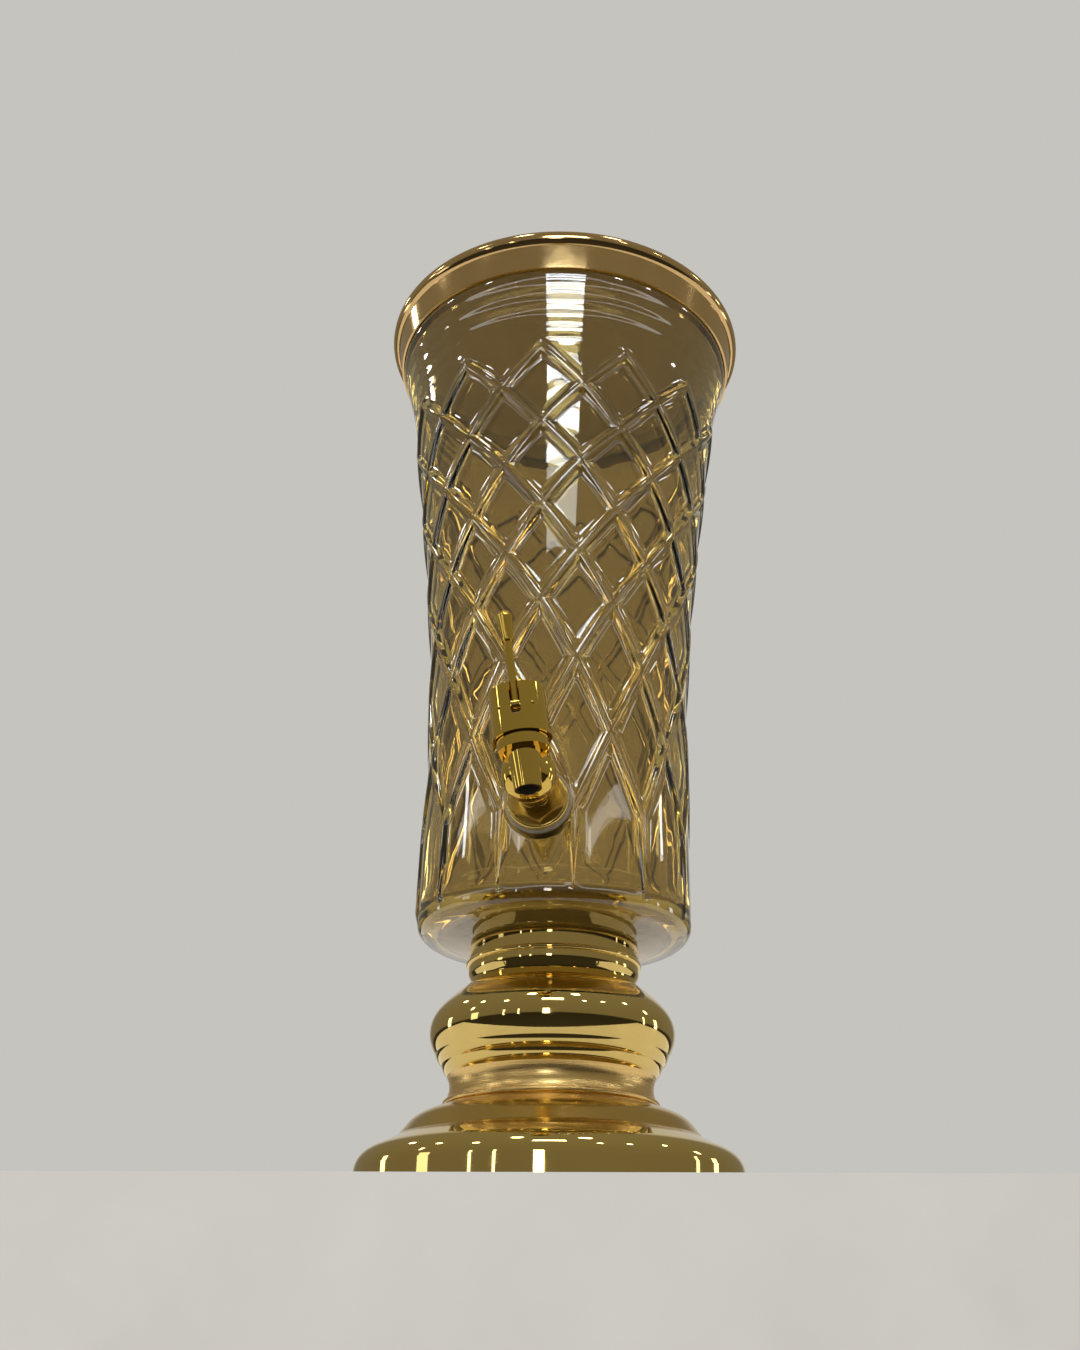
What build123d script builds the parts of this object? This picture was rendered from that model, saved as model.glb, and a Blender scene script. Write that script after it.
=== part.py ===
"""Glass beverage dispenser: a flared glass jar with a raised lattice, on a turned metal pedestal,
with a lift-off lid and a lever tap.

Millimetres. The origin is the middle of the pedestal's underside, +Z is up and the tap faces -Y.
"""
from build123d import *
import math
import os

# Pedestal: a spun foot, a satin waist, a bulb and a collar, pulled together by one tie rod
SHEET = 1.6                  # wall of the spun metal pieces
FOOT_RADIUS = 86.0
FOOT_HEIGHT = 13.7           # top of the foot's upright wall
FOOT_EDGE = 10.0             # rounding above it
FOOT_SLOPE = 25.0            # degrees, climb of the foot's top towards the moulding
FOOT_LIFT = 0.8              # gap between the foot's wall and the table
MOULD_FOOT = 69.4            # radius where the moulding starts to rise from the foot's top
COVE = 4.0                   # its hollow
MOULD_TILT = 52.0            # degrees, climb of its side
MOULD_SIDE = 6.1
MOULD_ROUND = 15.0           # its rounded shoulder
MOULD_SLOPE = 22.0           # degrees, climb of its top towards the waist
WEB_HOLE = 20.0              # hole in the flat webs that the tie rod passes through
WAIST_BEAD = 49.0            # bead at the waist's lower end
WAIST_RADIUS = 46.2          # narrowest place of the waist
WAIST_TOP = 47.5
WAIST_HEIGHT = 13.42
RIDGE = 0.5                  # how far each of the two ridges under the bulb stands out
RIDGE_HEIGHT = 4.8
RIDGE_STEP = 2.9             # how far each ridge's upper end lies outside its lower end
BULB_RADIUS = 56.4
BULB_MIDDLE = 19.3           # widest place, above the waist
BULB_HEIGHT = 42.5
NECK_RADIUS = 38.5
COLLAR_RADIUS = 40.0
COLLAR_HEIGHT = 17.0
COLLAR_BEAD = 1.2            # half-round bead round the collar
COLLAR_WALL = 2.4
CUP_DEPTH = 13.0             # from the collar's rim down to the seat of the jar
WELL_RADIUS = 16.0           # well in the cup's floor, for the rod's nut
WELL_DEPTH = 9.5
SEAT_THICK = 1.5             # silicone ring under the jar's boss
PAD_THICK = 2.2              # rubber pad under the foot
PLATE_THICK = 2.0
BALLAST_RADIUS = 66.0
BALLAST_THICK = 14.7
HUB_GAP = 2.0                # between the web's hole and the ballast's hub
HUB_WALL = 7.0
ROD_RADIUS = 4.0
ROD_CLEAR = 0.3              # clearance hole round the rod
NUT_FLATS = 13.0
NUT_THICK = 6.4
WASHER_RADIUS = 12.0
WASHER_THICK = 1.6
PLATE_SCREWS = 3
SCREW_RING_RADIUS = 50.0
SCREW_RADIUS = 2.0
SCREW_HEAD = 3.8
SCREW_LENGTH = 9.0

# Jar
JAR_HEIGHT = 335.0           # top of the flare above the collar's rim
JAR_RADIUS = 65.2
RIM_RADIUS = 92.6
# Outline of the flared wall: shares of the height, and of the step from the jar's radius to the rim's
JAR_OUTLINE = (
    (0.03, 0), (0.254, -0.015), (0.433, 0.044), (0.642, 0.285), (0.827, 0.573), (0.925, 0.759), (1, 1))
JAR_THICK = 5.0
JAR_GAP = 0.5                # between the collar's rim and the glass
JAR_CORNER = 6.5             # rounded lower edge
JAR_SLOPE = 3.0              # rise of the underside from the boss to the lower edge
JAR_FLOOR = 9.5              # inside floor above the collar's rim
JAR_BOWL = 10.0              # rounding between floor and inside wall
BOSS_CLEAR = 0.8             # between the boss and the collar's cup
RIM_BAND = 14.0              # upright band above the flare
MOULD_LINE = 0.05            # ledge that the mould leaves above and below the lattice

# Lattice of raised ribs on the jar: diamonds in rows, and tall arches under the last row
LATTICE_TOP = 294.0          # first row of crossings above the collar's rim
ROW_PITCHES = (21.0, 22.0, 22.0, 24.0, 25.0, 26.0, 31.0, 36.0, 39.0)
LATTICE_COLUMNS = 12
LATTICE_MARGIN = 9.0         # smooth wall kept above the first row
LATTICE_TURN = -1.0          # degrees, of a column of crossings from the tap
RIB_WIDTH = 6.0
RIB_HEIGHT = 1.2
RIB_RUNOUT = 4.0             # slope at a rib's lower end

# Tap: distances along its spout are from the shank's middle line
TAP_HEIGHT = 49.5            # shank above the collar's rim
TAP_REACH = 41.0             # spout's middle line in front of the glass
TAP_LEAN = -8.0              # degrees about the shank, seen leaning left from the front
PAD_RADIUS = 16.5            # flat seat on the glass
PAD_PROUD = 1.6
PAD_INSIDE = 1.8             # flat seat inside, proud of the wall
SHANK_RADIUS = 8.0
SHANK_BORE = 4.0
SHANK_CLEAR = 0.75           # hole in the glass
SHANK_TAIL = 3.2             # thread left over behind the lock nut
THREAD_CLEAR = 0.05
GASKET_RADIUS = 15.2
GASKET_THICK = 2.0
FLANGE_RADIUS = 14.0
FLANGE_THICK = 2.5
HEX_FLATS = 22.0
HEX_THICK = 6.0
TAP_WASHER_RADIUS = 13.0
TAP_WASHER_THICK = 1.5
BALL_RADIUS = 12.1           # rounded end of the body, behind the spout
BALL_BACK = 9.5
BARREL_RADIUS = 9.0
SPOUT_DROP = 10.5            # outlet below the shank's middle line
SPOUT_RADIUS = 5.8
SPOUT_TOP = 7.2
OUTLET_RADIUS = 4.7
OUTLET_DEPTH = 4.0
SEAT_RADIUS = 3.2            # hole that the plug closes
SEAT_LAND = 1.5
TAP_NECK_RADIUS = 9.65
TAP_NECK_LOW = 6.5
TAP_NECK_TOP = 20.0
NECK_RING = 11.2             # ring round the neck, below the bonnet
NECK_RING_TOP = 12.9
GLAND_RADIUS = 7.0
GLAND_LOW = 7.0
GLAND_THICK = 3.5
O_RING = 1.0                 # radius of the O-ring's section
BONNET_RADIUS = 12.4
BONNET_WALL = 2.4
BONNET_LOW = 11.9
BONNET_HEIGHT = 23.5
BONNET_ROOF = 1.8
BONNET_LIP = 0.4
BONNET_LIP_HEIGHT = 1.8
BONNET_LIP_WALL = 1.1
RING_CLEAR = 0.5             # between the neck ring and the bonnet
SLOT_CLEAR = 0.3             # each side of the lever
SLOT_DEPTH = 16.0            # slot down the bonnet's front
SPRING_PLATE = 1.2
STEM_RADIUS = 2.0
STEM_CLEAR = 0.06            # running fit
STEM_COLLAR = 5.5
STEM_COLLAR_THICK = 1.2
STEM_COLLAR_GAP = 0.5        # above the gland
STEM_HEAD = 6.5
STEM_HEAD_THICK = 1.4
PLUG_RADIUS = 4.3
PLUG_THICK = 3.0
STEM_BARB = 0.7
SPRING_RADIUS = 4.3          # middle of the wire
SPRING_WIRE = 0.4
SPRING_TURNS = 4
LEVER_WIDTH = 3.6
LEVER_PIVOT = 9.5            # in front of the spout's middle line
LEVER_PIVOT_HEIGHT = 24.2
LEVER_HUB = 2.6
LEVER_NOSE = 4.6             # reach of the nose that lifts the stem's head
LEVER_NOSE_HALF = 1.0
LEVER_GAP = 0.4              # lost motion between nose and head
LEVER_LENGTH = 41.4          # pivot to the middle of the rounded tip
LEVER_SWEEP = 4.0            # degrees that the lever leans forward
LEVER_ROD = 1.75             # lever's radius below the grip
LEVER_RING = 2.6             # thin ring under the grip
LEVER_RING_THICK = 0.8
LEVER_GRIP = 10.6            # from the tip's middle down to the ring
LEVER_GRIP_FOOT = 2.25
LEVER_TIP = 3.4
PIN_RADIUS = 1.0
PIN_CLEAR = 0.04
PIN_SETBACK = 0.3            # pin's ends below the bonnet's surface

# Lid
LID_SHEET = 1.5
SKIRT_GAP = 0.6              # between the skirt and the glass
SKIRT_WALL = 1.0
SKIRT_FLARE = 2.8
SKIRT_HEIGHT = 13.0
SKIRT_LAP = 12.0             # skirt's reach below the jar's rim
BEAD_PROUD = 3.2
BEAD_HEIGHT = 8.6
GUTTER_IN = 6.6              # gutter between the bead and the dome
DOME_RISE = 20.4
SEAL_GAP = 0.3
SEAL_THICK = 1.7
SEAL_LIP = 1.8
SEAL_LIP_DEPTH = 6.0
SEAL_CLEAR = 0.4
KNOB_FLAT = 12.0             # flat at the top of the dome
KNOB_BASE = 9.0
KNOB_BASE_THICK = 1.8
KNOB_NECK = 5.0
KNOB_NECK_HEIGHT = 7.0
KNOB_RADIUS = 12.5
KNOB_HEIGHT = 30.0
KNOB_SCREW = 2.5
KNOB_SCREW_DEPTH = 12.0
KNOB_SCREW_CLEAR = 0.1
KNOB_SCREW_HEAD = 4.5
KNOB_SCREW_HEAD_THICK = 2.4
KNOB_WASHER = 7.0
KNOB_WASHER_THICK = 1.2

OVERCUT = 1.0                # how far a cutting shape passes the face that it cuts

# Heights that follow from these
plate_low = PAD_THICK
ballast_low = plate_low + PLATE_THICK
ballast_top = ballast_low + BALLAST_THICK
upright = math.pi / 2
foot_slope = math.radians(FOOT_SLOPE)
mould_tilt = math.radians(MOULD_TILT)
mould_slope = math.radians(MOULD_SLOPE)


def bend(start, radius, before, after):
    """End, as (radius, height), of an arc that climbs inwards and whose climb changes between two angles."""
    sign = 1 if after > before else -1
    return (start[0] - sign * radius * (math.sin(after) - math.sin(before)),
            start[1] + sign * radius * (math.cos(before) - math.cos(after)))


def climb(start, run, slope):
    """End of a straight climb inwards over a radial run."""
    return (start[0] - run, start[1] + run * math.tan(slope))


foot_top = bend((FOOT_RADIUS, FOOT_HEIGHT), FOOT_EDGE, upright, foot_slope)
cove_low = climb(foot_top, foot_top[0] - MOULD_FOOT, foot_slope)
mould_low = bend(cove_low, COVE, foot_slope, mould_tilt)
mould_high = climb(mould_low, MOULD_SIDE * math.cos(mould_tilt), mould_tilt)
shoulder = bend(mould_high, MOULD_ROUND, mould_tilt, mould_slope)
ledge = climb(shoulder, shoulder[0] - WAIST_BEAD, mould_slope)[1]
waist_top = ledge + WAIST_HEIGHT
neck = waist_top + BULB_HEIGHT
collar_top = neck + COLLAR_HEIGHT
cup_floor = collar_top - CUP_DEPTH
well_floor = cup_floor - WELL_DEPTH
boss_low = cup_floor + SEAT_THICK
boss_radius = COLLAR_RADIUS - COLLAR_WALL - BOSS_CLEAR
jar_low = collar_top + JAR_GAP
jar_wall = [(JAR_RADIUS + flare * (RIM_RADIUS - JAR_RADIUS), collar_top + height * JAR_HEIGHT)
            for height, flare in JAR_OUTLINE]
wall_foot = jar_wall[0][1]
flare_top = jar_wall[-1][1]
rim_top = flare_top + RIM_BAND
rows = [collar_top + LATTICE_TOP - sum(ROW_PITCHES[:row]) for row in range(len(ROW_PITCHES) + 1)]
last_row = len(ROW_PITCHES)
lattice_top = rows[0] + LATTICE_MARGIN
half_column = math.pi / LATTICE_COLUMNS
lip = JAR_THICK / 2
tap_z = collar_top + TAP_HEIGHT
bonnet_top = BONNET_LOW + BONNET_HEIGHT
plug_low = OUTLET_DEPTH + SEAT_LAND - SPOUT_DROP
spring_low = GLAND_LOW + GLAND_THICK + STEM_COLLAR_GAP + STEM_COLLAR_THICK
stem_head_low = LEVER_PIVOT_HEIGHT + LEVER_NOSE_HALF + LEVER_GAP
hex_front = TAP_REACH - GASKET_THICK - FLANGE_THICK - HEX_THICK
skirt_low = rim_top - SKIRT_LAP
skirt_inside = RIM_RADIUS + SKIRT_GAP
skirt_outside = skirt_inside + SKIRT_WALL
gutter_low = rim_top + SEAL_GAP + SEAL_THICK
dome_top = gutter_low + LID_SHEET + DOME_RISE


def lathe(edges, arc=360):
    """Solid turned from a closed outline of (radius, height) points."""
    return revolve(Plane.XZ * make_face(edges), Axis.Z, arc)


def between(outer, inner):
    """Closed outline between two open lines that start and end side by side."""
    ends = [Line(outer[0] @ 0, inner[0] @ 0), Line(outer[-1] @ 1, inner[-1] @ 1)]
    return outer + inner + ends


def disc(radius, low, high):
    return Pos(0, 0, low) * Cylinder(radius, high - low, align=(Align.CENTER, Align.CENTER, Align.MIN))


def ring(inside, outside, low, high):
    return disc(outside, low, high) - disc(inside, low, high)


def hex_nut(flats, hole, low, high):
    blank = Pos(0, 0, low) * extrude(RegularPolygon(flats / 2, 6, major_radius=False), high - low)
    return blank - disc(hole, low, high)


def foot_line(depth):
    """Foot, sloping top, cove and moulding up to the waist's ledge, `depth` under the visible surface."""
    def below(place, slope):
        return (place[0] - depth * math.sin(slope), place[1] - depth * math.cos(slope))

    wall = (FOOT_RADIUS - depth, FOOT_HEIGHT)
    edge = below(foot_top, foot_slope)
    cove_start, cove_end = below(cove_low, foot_slope), below(mould_low, mould_tilt)
    side = below(mould_high, mould_tilt)
    top = below(shoulder, mould_slope)
    web = ledge - depth
    web_edge = top[0] - (web - top[1]) / math.tan(mould_slope)
    return [
        Line((wall[0], FOOT_LIFT), wall),
        RadiusArc(wall, edge, -(FOOT_EDGE - depth)),
        Line(edge, cove_start),
        RadiusArc(cove_start, cove_end, COVE + depth),
        Line(cove_end, side),
        RadiusArc(side, top, -(MOULD_ROUND - depth)),
        Line(top, (web_edge, web)),
        Line((web_edge, web), (WEB_HOLE, web)),
    ]


def foot_shell():
    return lathe(between(foot_line(0), foot_line(SHEET)))


def waist_line(depth):
    bead = (WAIST_BEAD - WAIST_RADIUS) / 2
    foot = WAIST_BEAD - bead - depth
    return [
        ThreePointArc((foot, ledge), (foot + bead, ledge + bead), (foot, ledge + 2 * bead)),
        Spline((foot, ledge + 2 * bead), (WAIST_RADIUS - depth, ledge + WAIST_HEIGHT * 0.6),
               (WAIST_TOP - depth, waist_top)),
    ]


def waist_sleeve():
    return lathe(between(waist_line(0), waist_line(SHEET)))


def bulb_line(depth):
    """Two shallow ridges, then the bulb, then the neck."""
    ends = [(WAIST_TOP - depth + step * RIDGE_STEP, waist_top + step * RIDGE_HEIGHT) for step in range(3)]
    lean = math.atan2(RIDGE_STEP, RIDGE_HEIGHT)
    ridges = []
    for low, high in zip(ends, ends[1:]):
        middle = ((low[0] + high[0]) / 2, (low[1] + high[1]) / 2)
        crest = (middle[0] + RIDGE * math.cos(lean), middle[1] - RIDGE * math.sin(lean))
        ridges.append(ThreePointArc(low, crest, high))
    bulb = Spline(
        ends[-1], (BULB_RADIUS - depth, waist_top + BULB_MIDDLE), (NECK_RADIUS - depth, neck),
        tangents=((0.6, 1), (0, 1), (-1, 0.92)))
    return ridges + [bulb]


def bulb_shell():
    shell = lathe(between(bulb_line(0), bulb_line(SHEET)))
    return shell + ring(WEB_HOLE, WAIST_TOP - SHEET / 4, waist_top, waist_top + SHEET)


def collar_cup():
    """Collar with a half-round bead, and the stepped cup inside that holds the jar's boss."""
    middle = (neck + collar_top) / 2
    inside = COLLAR_RADIUS - COLLAR_WALL
    lip_round = COLLAR_WALL / 2
    spigot = NECK_RADIUS - SHEET - ROD_CLEAR
    outside = [
        Spline((NECK_RADIUS, neck), (COLLAR_RADIUS, middle - 3 * COLLAR_BEAD), tangents=((0.1, 1), (0, 1))),
        Line((COLLAR_RADIUS, middle - 3 * COLLAR_BEAD), (COLLAR_RADIUS, middle - COLLAR_BEAD)),
        ThreePointArc((COLLAR_RADIUS, middle - COLLAR_BEAD), (COLLAR_RADIUS + COLLAR_BEAD, middle),
                      (COLLAR_RADIUS, middle + COLLAR_BEAD)),
        Line((COLLAR_RADIUS, middle + COLLAR_BEAD), (COLLAR_RADIUS, collar_top - lip_round)),
        ThreePointArc((COLLAR_RADIUS, collar_top - lip_round), (COLLAR_RADIUS - lip_round, collar_top),
                      (inside, collar_top - lip_round)),
    ]
    cup = Polyline(
        (inside, collar_top - lip_round), (inside, cup_floor), (WELL_RADIUS, cup_floor),
        (WELL_RADIUS, well_floor), (ROD_RADIUS + ROD_CLEAR, well_floor),
        (ROD_RADIUS + ROD_CLEAR, well_floor - SHEET), (WELL_RADIUS + SHEET, well_floor - SHEET),
        (WELL_RADIUS + SHEET, cup_floor - SHEET), (spigot, cup_floor - SHEET),
        (spigot, neck), (NECK_RADIUS, neck))
    return lathe(outside + [cup])


def seat_ring():
    return ring(WELL_RADIUS + SHEET, boss_radius, cup_floor, boss_low)


def foot_pad():
    return disc(FOOT_RADIUS - SHEET - ROD_CLEAR, 0, plate_low)


def foot_plate():
    plate = disc(FOOT_RADIUS - SHEET - ROD_CLEAR, plate_low, ballast_low)
    return plate - plate_screw_places(disc(SCREW_HEAD, plate_low, ballast_low))


def plate_screw_places(item):
    return Compound(children=[loc * item for loc in PolarLocations(SCREW_RING_RADIUS, PLATE_SCREWS)])


def plate_screws():
    head = disc(SCREW_HEAD - THREAD_CLEAR, plate_low, ballast_low)
    return plate_screw_places(head + disc(SCREW_RADIUS, ballast_low, plate_low + SCREW_LENGTH))


def ballast_disc():
    nut_pocket = disc(WASHER_RADIUS + ROD_CLEAR, ballast_low, ballast_low + NUT_THICK + WASHER_THICK)
    rod_hole = disc(ROD_RADIUS + ROD_CLEAR, ballast_low, ballast_top)
    screw_hole = disc(SCREW_RADIUS + THREAD_CLEAR, ballast_low, plate_low + SCREW_LENGTH + THREAD_CLEAR)
    weight = disc(BALLAST_RADIUS, ballast_low, ballast_top)
    inside = WEB_HOLE + HUB_GAP
    hub = ring(inside, inside + HUB_WALL, ballast_top, ledge - SHEET)
    return weight + hub - nut_pocket - rod_hole - plate_screw_places(screw_hole)


def tie_rod():
    top = well_floor + WASHER_THICK + NUT_THICK
    return disc(ROD_RADIUS, ballast_low, top)


def rod_washers():
    low = ballast_low + NUT_THICK
    hole = ROD_RADIUS + ROD_CLEAR
    return Compound(children=[ring(hole, WASHER_RADIUS, low, low + WASHER_THICK),
                              ring(hole, WASHER_RADIUS, well_floor, well_floor + WASHER_THICK)])


def rod_nuts():
    hole = ROD_RADIUS + THREAD_CLEAR
    high = well_floor + WASHER_THICK
    return Compound(children=[hex_nut(NUT_FLATS, hole, ballast_low, ballast_low + NUT_THICK),
                              hex_nut(NUT_FLATS, hole, high, high + NUT_THICK)])


def wall_line(depth, low=0.0):
    """Flared wall of the jar, `depth` inside the outer face, from its foot or from a higher `low`."""
    points = [(radius - depth, z) for radius, z in jar_wall]
    points[0] = (points[0][0], max(wall_foot, low))
    return Spline(*points, tangents=((0, 1), (0.45, 1)))


def wall_radius(z):
    """Outer radius of the jar at a height, found by halving along the wall line."""
    line = wall_line(0)
    low, high = 0.0, 1.0
    for _ in range(40):
        middle = (low + high) / 2
        if (line @ middle).Y < z:
            low = middle
        else:
            high = middle
    return (line @ low).X


def jar_blank():
    """Outside of the jar as one solid: boss, sloping underside, rounded edge, flare and rim band."""
    wall = wall_line(MOULD_LINE)
    edge = wall @ 0
    foot = (edge.X - JAR_CORNER, edge.Y - JAR_CORNER)
    return lathe([
        Polyline((0, rim_top), (0, boss_low), (boss_radius, boss_low), (boss_radius, jar_low), foot),
        RadiusArc(foot, (edge.X, edge.Y), -JAR_CORNER),
        wall,
        Polyline(wall @ 1, (RIM_RADIUS, flare_top), (RIM_RADIUS, rim_top - lip)),
        RadiusArc((RIM_RADIUS, rim_top - lip), (RIM_RADIUS - lip, rim_top), -lip),
        Line((RIM_RADIUS - lip, rim_top), (0, rim_top)),
    ])


def jar_hollow():
    floor = collar_top + JAR_FLOOR
    wall = wall_line(JAR_THICK, floor + JAR_BOWL)
    start = wall @ 0
    inside = RIM_RADIUS - JAR_THICK
    return lathe([
        Polyline((0, rim_top), (0, floor), (start.X - JAR_BOWL, floor)),
        RadiusArc((start.X - JAR_BOWL, floor), (start.X, start.Y), -JAR_BOWL),
        wall,
        Line((inside, flare_top), (inside, rim_top - lip)),
        RadiusArc((inside, rim_top - lip), (inside + lip, rim_top), lip),
        Line((inside + lip, rim_top), (0, rim_top)),
    ])


def along_y(radius, near, far):
    """Round bar along Y at the tap's height, between two distances from the jar's middle, to the front."""
    bar = Pos(0, -near, tap_z) * Rot(90, 0, 0)
    return bar * Cylinder(radius, far - near, align=(Align.CENTER, Align.CENTER, Align.MIN))


tap_wall = wall_radius(tap_z)
pad_front = tap_wall + PAD_PROUD
pad_back = tap_wall - JAR_THICK - PAD_INSIDE
pad_thick = pad_front - pad_back


def row_z(row):
    """Height of a row of crossings, also between rows and just above the first or below the last."""
    whole = min(max(math.floor(row), 0), last_row - 1)
    return rows[whole] - (row - whole) * ROW_PITCHES[whole]


def on_wall(turn, z, lift):
    """Point on the wall: half columns round from the front, height, and how far it stands out."""
    radius = wall_radius(z) + lift
    angle = turn * half_column + math.radians(LATTICE_TURN)
    return Vector(radius * math.sin(angle), -radius * math.cos(angle), z)


def cubic_through(points):
    """Control points of the cubic curve through four evenly spaced points."""
    a, b, c, d = points
    return [a, (b * 18 - a * 5 - c * 9 + d * 2) / 6, (c * 18 - d * 5 - b * 9 + a * 2) / 6, d]


def patch(a, b, c, d):
    """Face between four corners given as (turn, z, lift). Its sides run evenly from corner to corner."""
    def mix(start, end, share):
        return [low + (high - low) * share for low, high in zip(start, end)]

    steps = [step / 3 for step in range(4)]
    grid = [cubic_through([on_wall(*mix(mix(a, b, u), mix(d, c, u), v)) for u in steps]) for v in steps]
    return Face.make_bezier_surface([cubic_through(column) for column in zip(*grid)])


def rib_share(row):
    """Half a rib's width as a share of the cell's half width and half height."""
    wide = wall_radius(rows[row]) * half_column
    tall = (row_z(row - 1) - row_z(row + 1)) / 2
    return RIB_WIDTH / 2 * math.hypot(wide, tall) / (wide * tall)


def crossing(turn, row):
    return (turn, rows[row], RIB_HEIGHT)


def diamond(turn, row):
    """Cell with its floor on the wall and four flanks up to the crests of the ribs around it."""
    inner = 1 - rib_share(row)
    floor = [(turn, row_z(row - inner), 0), (turn + inner, rows[row], 0),
             (turn, row_z(row + inner), 0), (turn - inner, rows[row], 0)]
    crest = [crossing(turn, row - 1), crossing(turn + 1, row),
             crossing(turn, row + 1), crossing(turn - 1, row)]
    flanks = [patch(crest[side - 1], crest[side], floor[side], floor[side - 1]) for side in range(4)]
    return [patch(*floor)] + flanks


def crown(turn):
    """Upper edge of the lattice between two peaks, and the smooth wall above it."""
    share = rib_share(0)
    faces = []
    for side in (-1, 1):
        valley = (turn, row_z(1 - share), 0)
        peak = (turn + side, row_z(-share), 0)
        faces.append(patch(crossing(turn, 1), crossing(turn + side, 0), peak, valley))
        faces.append(patch(valley, peak, (turn + side, lattice_top, 0), (turn, lattice_top, 0)))
    return faces


def arch(turn):
    """Tall arch under the last row, between two upright ribs that run out to a point at the foot."""
    share = rib_share(last_row)
    faces = []
    for side in (-1, 1):
        top = (turn, row_z(last_row - 1 + share), 0)
        shoulder = (turn + side * (1 - share), rows[last_row], 0)
        foot = (turn + side, wall_foot, 0)
        run_out = (turn + side, wall_foot + RIB_RUNOUT, RIB_HEIGHT)
        faces.append(patch(crossing(turn, last_row - 1), crossing(turn + side, last_row), shoulder, top))
        faces.append(patch(crossing(turn + side, last_row), run_out, foot, shoulder))
        faces.append(patch(top, shoulder, foot, (turn, wall_foot, 0)))
    return faces


def lattice_end(z):
    """Flat disc with the same edge as the patches that end at this height."""
    arcs = [Bezier(*cubic_through([on_wall(turn + step / 3, z, 0) for step in range(4)]))
            for turn in range(2 * LATTICE_COLUMNS)]
    return make_face(arcs).face()


def lattice_wall():
    """The jar's ribbed wall as one solid: a column of faces, repeated round the axis and sewn up."""
    column = crown(1) + arch(last_row + 1)
    for row in range(1, last_row):
        column += diamond(row + 1, row)
    turns = [Rot(0, 0, copy * 360 / LATTICE_COLUMNS) for copy in range(LATTICE_COLUMNS)]
    faces = [turn * face for turn in turns for face in column]
    return Solid(Shell(faces + [lattice_end(wall_foot), lattice_end(lattice_top)]))


def glass_jar():
    ends = jar_blank() - disc(2 * RIM_RADIUS, wall_foot, lattice_top)
    blank = lattice_wall() + ends + along_y(PAD_RADIUS, tap_wall - JAR_THICK, pad_front)
    jar = blank - jar_hollow() + along_y(GASKET_RADIUS, pad_back, tap_wall)
    jar -= along_y(SHANK_RADIUS + SHANK_CLEAR, pad_back - OVERCUT, pad_front + OVERCUT)
    return jar.fix()  # at some heights the cuts leave a gap at the seam of the rim's rounding


def tap_place(item):
    """Move a piece from the tap's own frame, where its spout stands on Z, to the jar."""
    return Pos(0, -(pad_front + TAP_REACH), tap_z) * Rot(0, TAP_LEAN, 0) * item


def bar(radius, near, far):
    """Round bar along the shank in the tap's own frame."""
    return Rot(-90, 0, 0) * disc(radius, near, far)


def tap_body():
    shank_end = TAP_REACH + pad_thick + GASKET_THICK + TAP_WASHER_THICK + HEX_THICK + SHANK_TAIL
    mouth = -SPOUT_DROP
    column = lathe([Polyline(
        (0, mouth), (SPOUT_RADIUS, mouth), (SPOUT_TOP, TAP_NECK_LOW), (NECK_RING, TAP_NECK_LOW),
        (NECK_RING, NECK_RING_TOP), (TAP_NECK_RADIUS, NECK_RING_TOP), (TAP_NECK_RADIUS, TAP_NECK_TOP),
        (0, TAP_NECK_TOP), close=True)])
    ball = Pos(0, BALL_BACK, 0) * Sphere(BALL_RADIUS)
    body = column + ball + bar(BARREL_RADIUS, BALL_BACK, hex_front) + bar(SHANK_RADIUS, hex_front, shank_end)
    body -= disc(OUTLET_RADIUS, mouth - BALL_RADIUS, mouth + OUTLET_DEPTH)
    body -= disc(SEAT_RADIUS, mouth, plug_low)
    body -= disc(OUTLET_RADIUS, plug_low, GLAND_LOW)
    body -= disc(GLAND_RADIUS, GLAND_LOW, TAP_NECK_TOP)
    return tap_place(body - bar(SHANK_BORE, 0, shank_end))


def flange_nut():
    nut = Rot(0, 0, 30) * hex_nut(HEX_FLATS, SHANK_RADIUS + THREAD_CLEAR, hex_front, hex_front + HEX_THICK)
    low = hex_front + HEX_THICK
    flange = ring(SHANK_RADIUS + THREAD_CLEAR, FLANGE_RADIUS, low, low + FLANGE_THICK)
    front_edge = flange.edges().filter_by(GeomType.CIRCLE).group_by(Axis.Z)[0].sort_by(SortBy.RADIUS)[-1]
    flange = fillet(front_edge, FLANGE_THICK / 2)
    return tap_place(Rot(-90, 0, 0) * (nut + flange))


def shank_ring(radius, near, thick):
    return tap_place(Rot(-90, 0, 0) * ring(SHANK_RADIUS + THREAD_CLEAR, radius, near, near + thick))


def outer_gasket():
    return shank_ring(GASKET_RADIUS, TAP_REACH - GASKET_THICK, GASKET_THICK)


def inner_gasket():
    return shank_ring(FLANGE_RADIUS, TAP_REACH + pad_thick, GASKET_THICK)


def inner_washer():
    return shank_ring(TAP_WASHER_RADIUS, TAP_REACH + pad_thick + GASKET_THICK, TAP_WASHER_THICK)


def lock_nut():
    low = TAP_REACH + pad_thick + GASKET_THICK + TAP_WASHER_THICK
    nut = hex_nut(HEX_FLATS, SHANK_RADIUS + THREAD_CLEAR, low, low + HEX_THICK)
    return tap_place(Rot(-90, 0, 0) * nut)


def gland_bush():
    top = GLAND_LOW + GLAND_THICK
    pocket = disc(STEM_RADIUS + 2 * O_RING, top - 2 * O_RING, top)
    return tap_place(ring(STEM_RADIUS + STEM_CLEAR, GLAND_RADIUS, GLAND_LOW, top) - pocket)


def stem_o_ring():
    middle = GLAND_LOW + GLAND_THICK - O_RING
    section = O_RING - STEM_CLEAR / 2
    return tap_place(Pos(0, 0, middle) * Torus(STEM_RADIUS + STEM_CLEAR + section, section))


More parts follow.
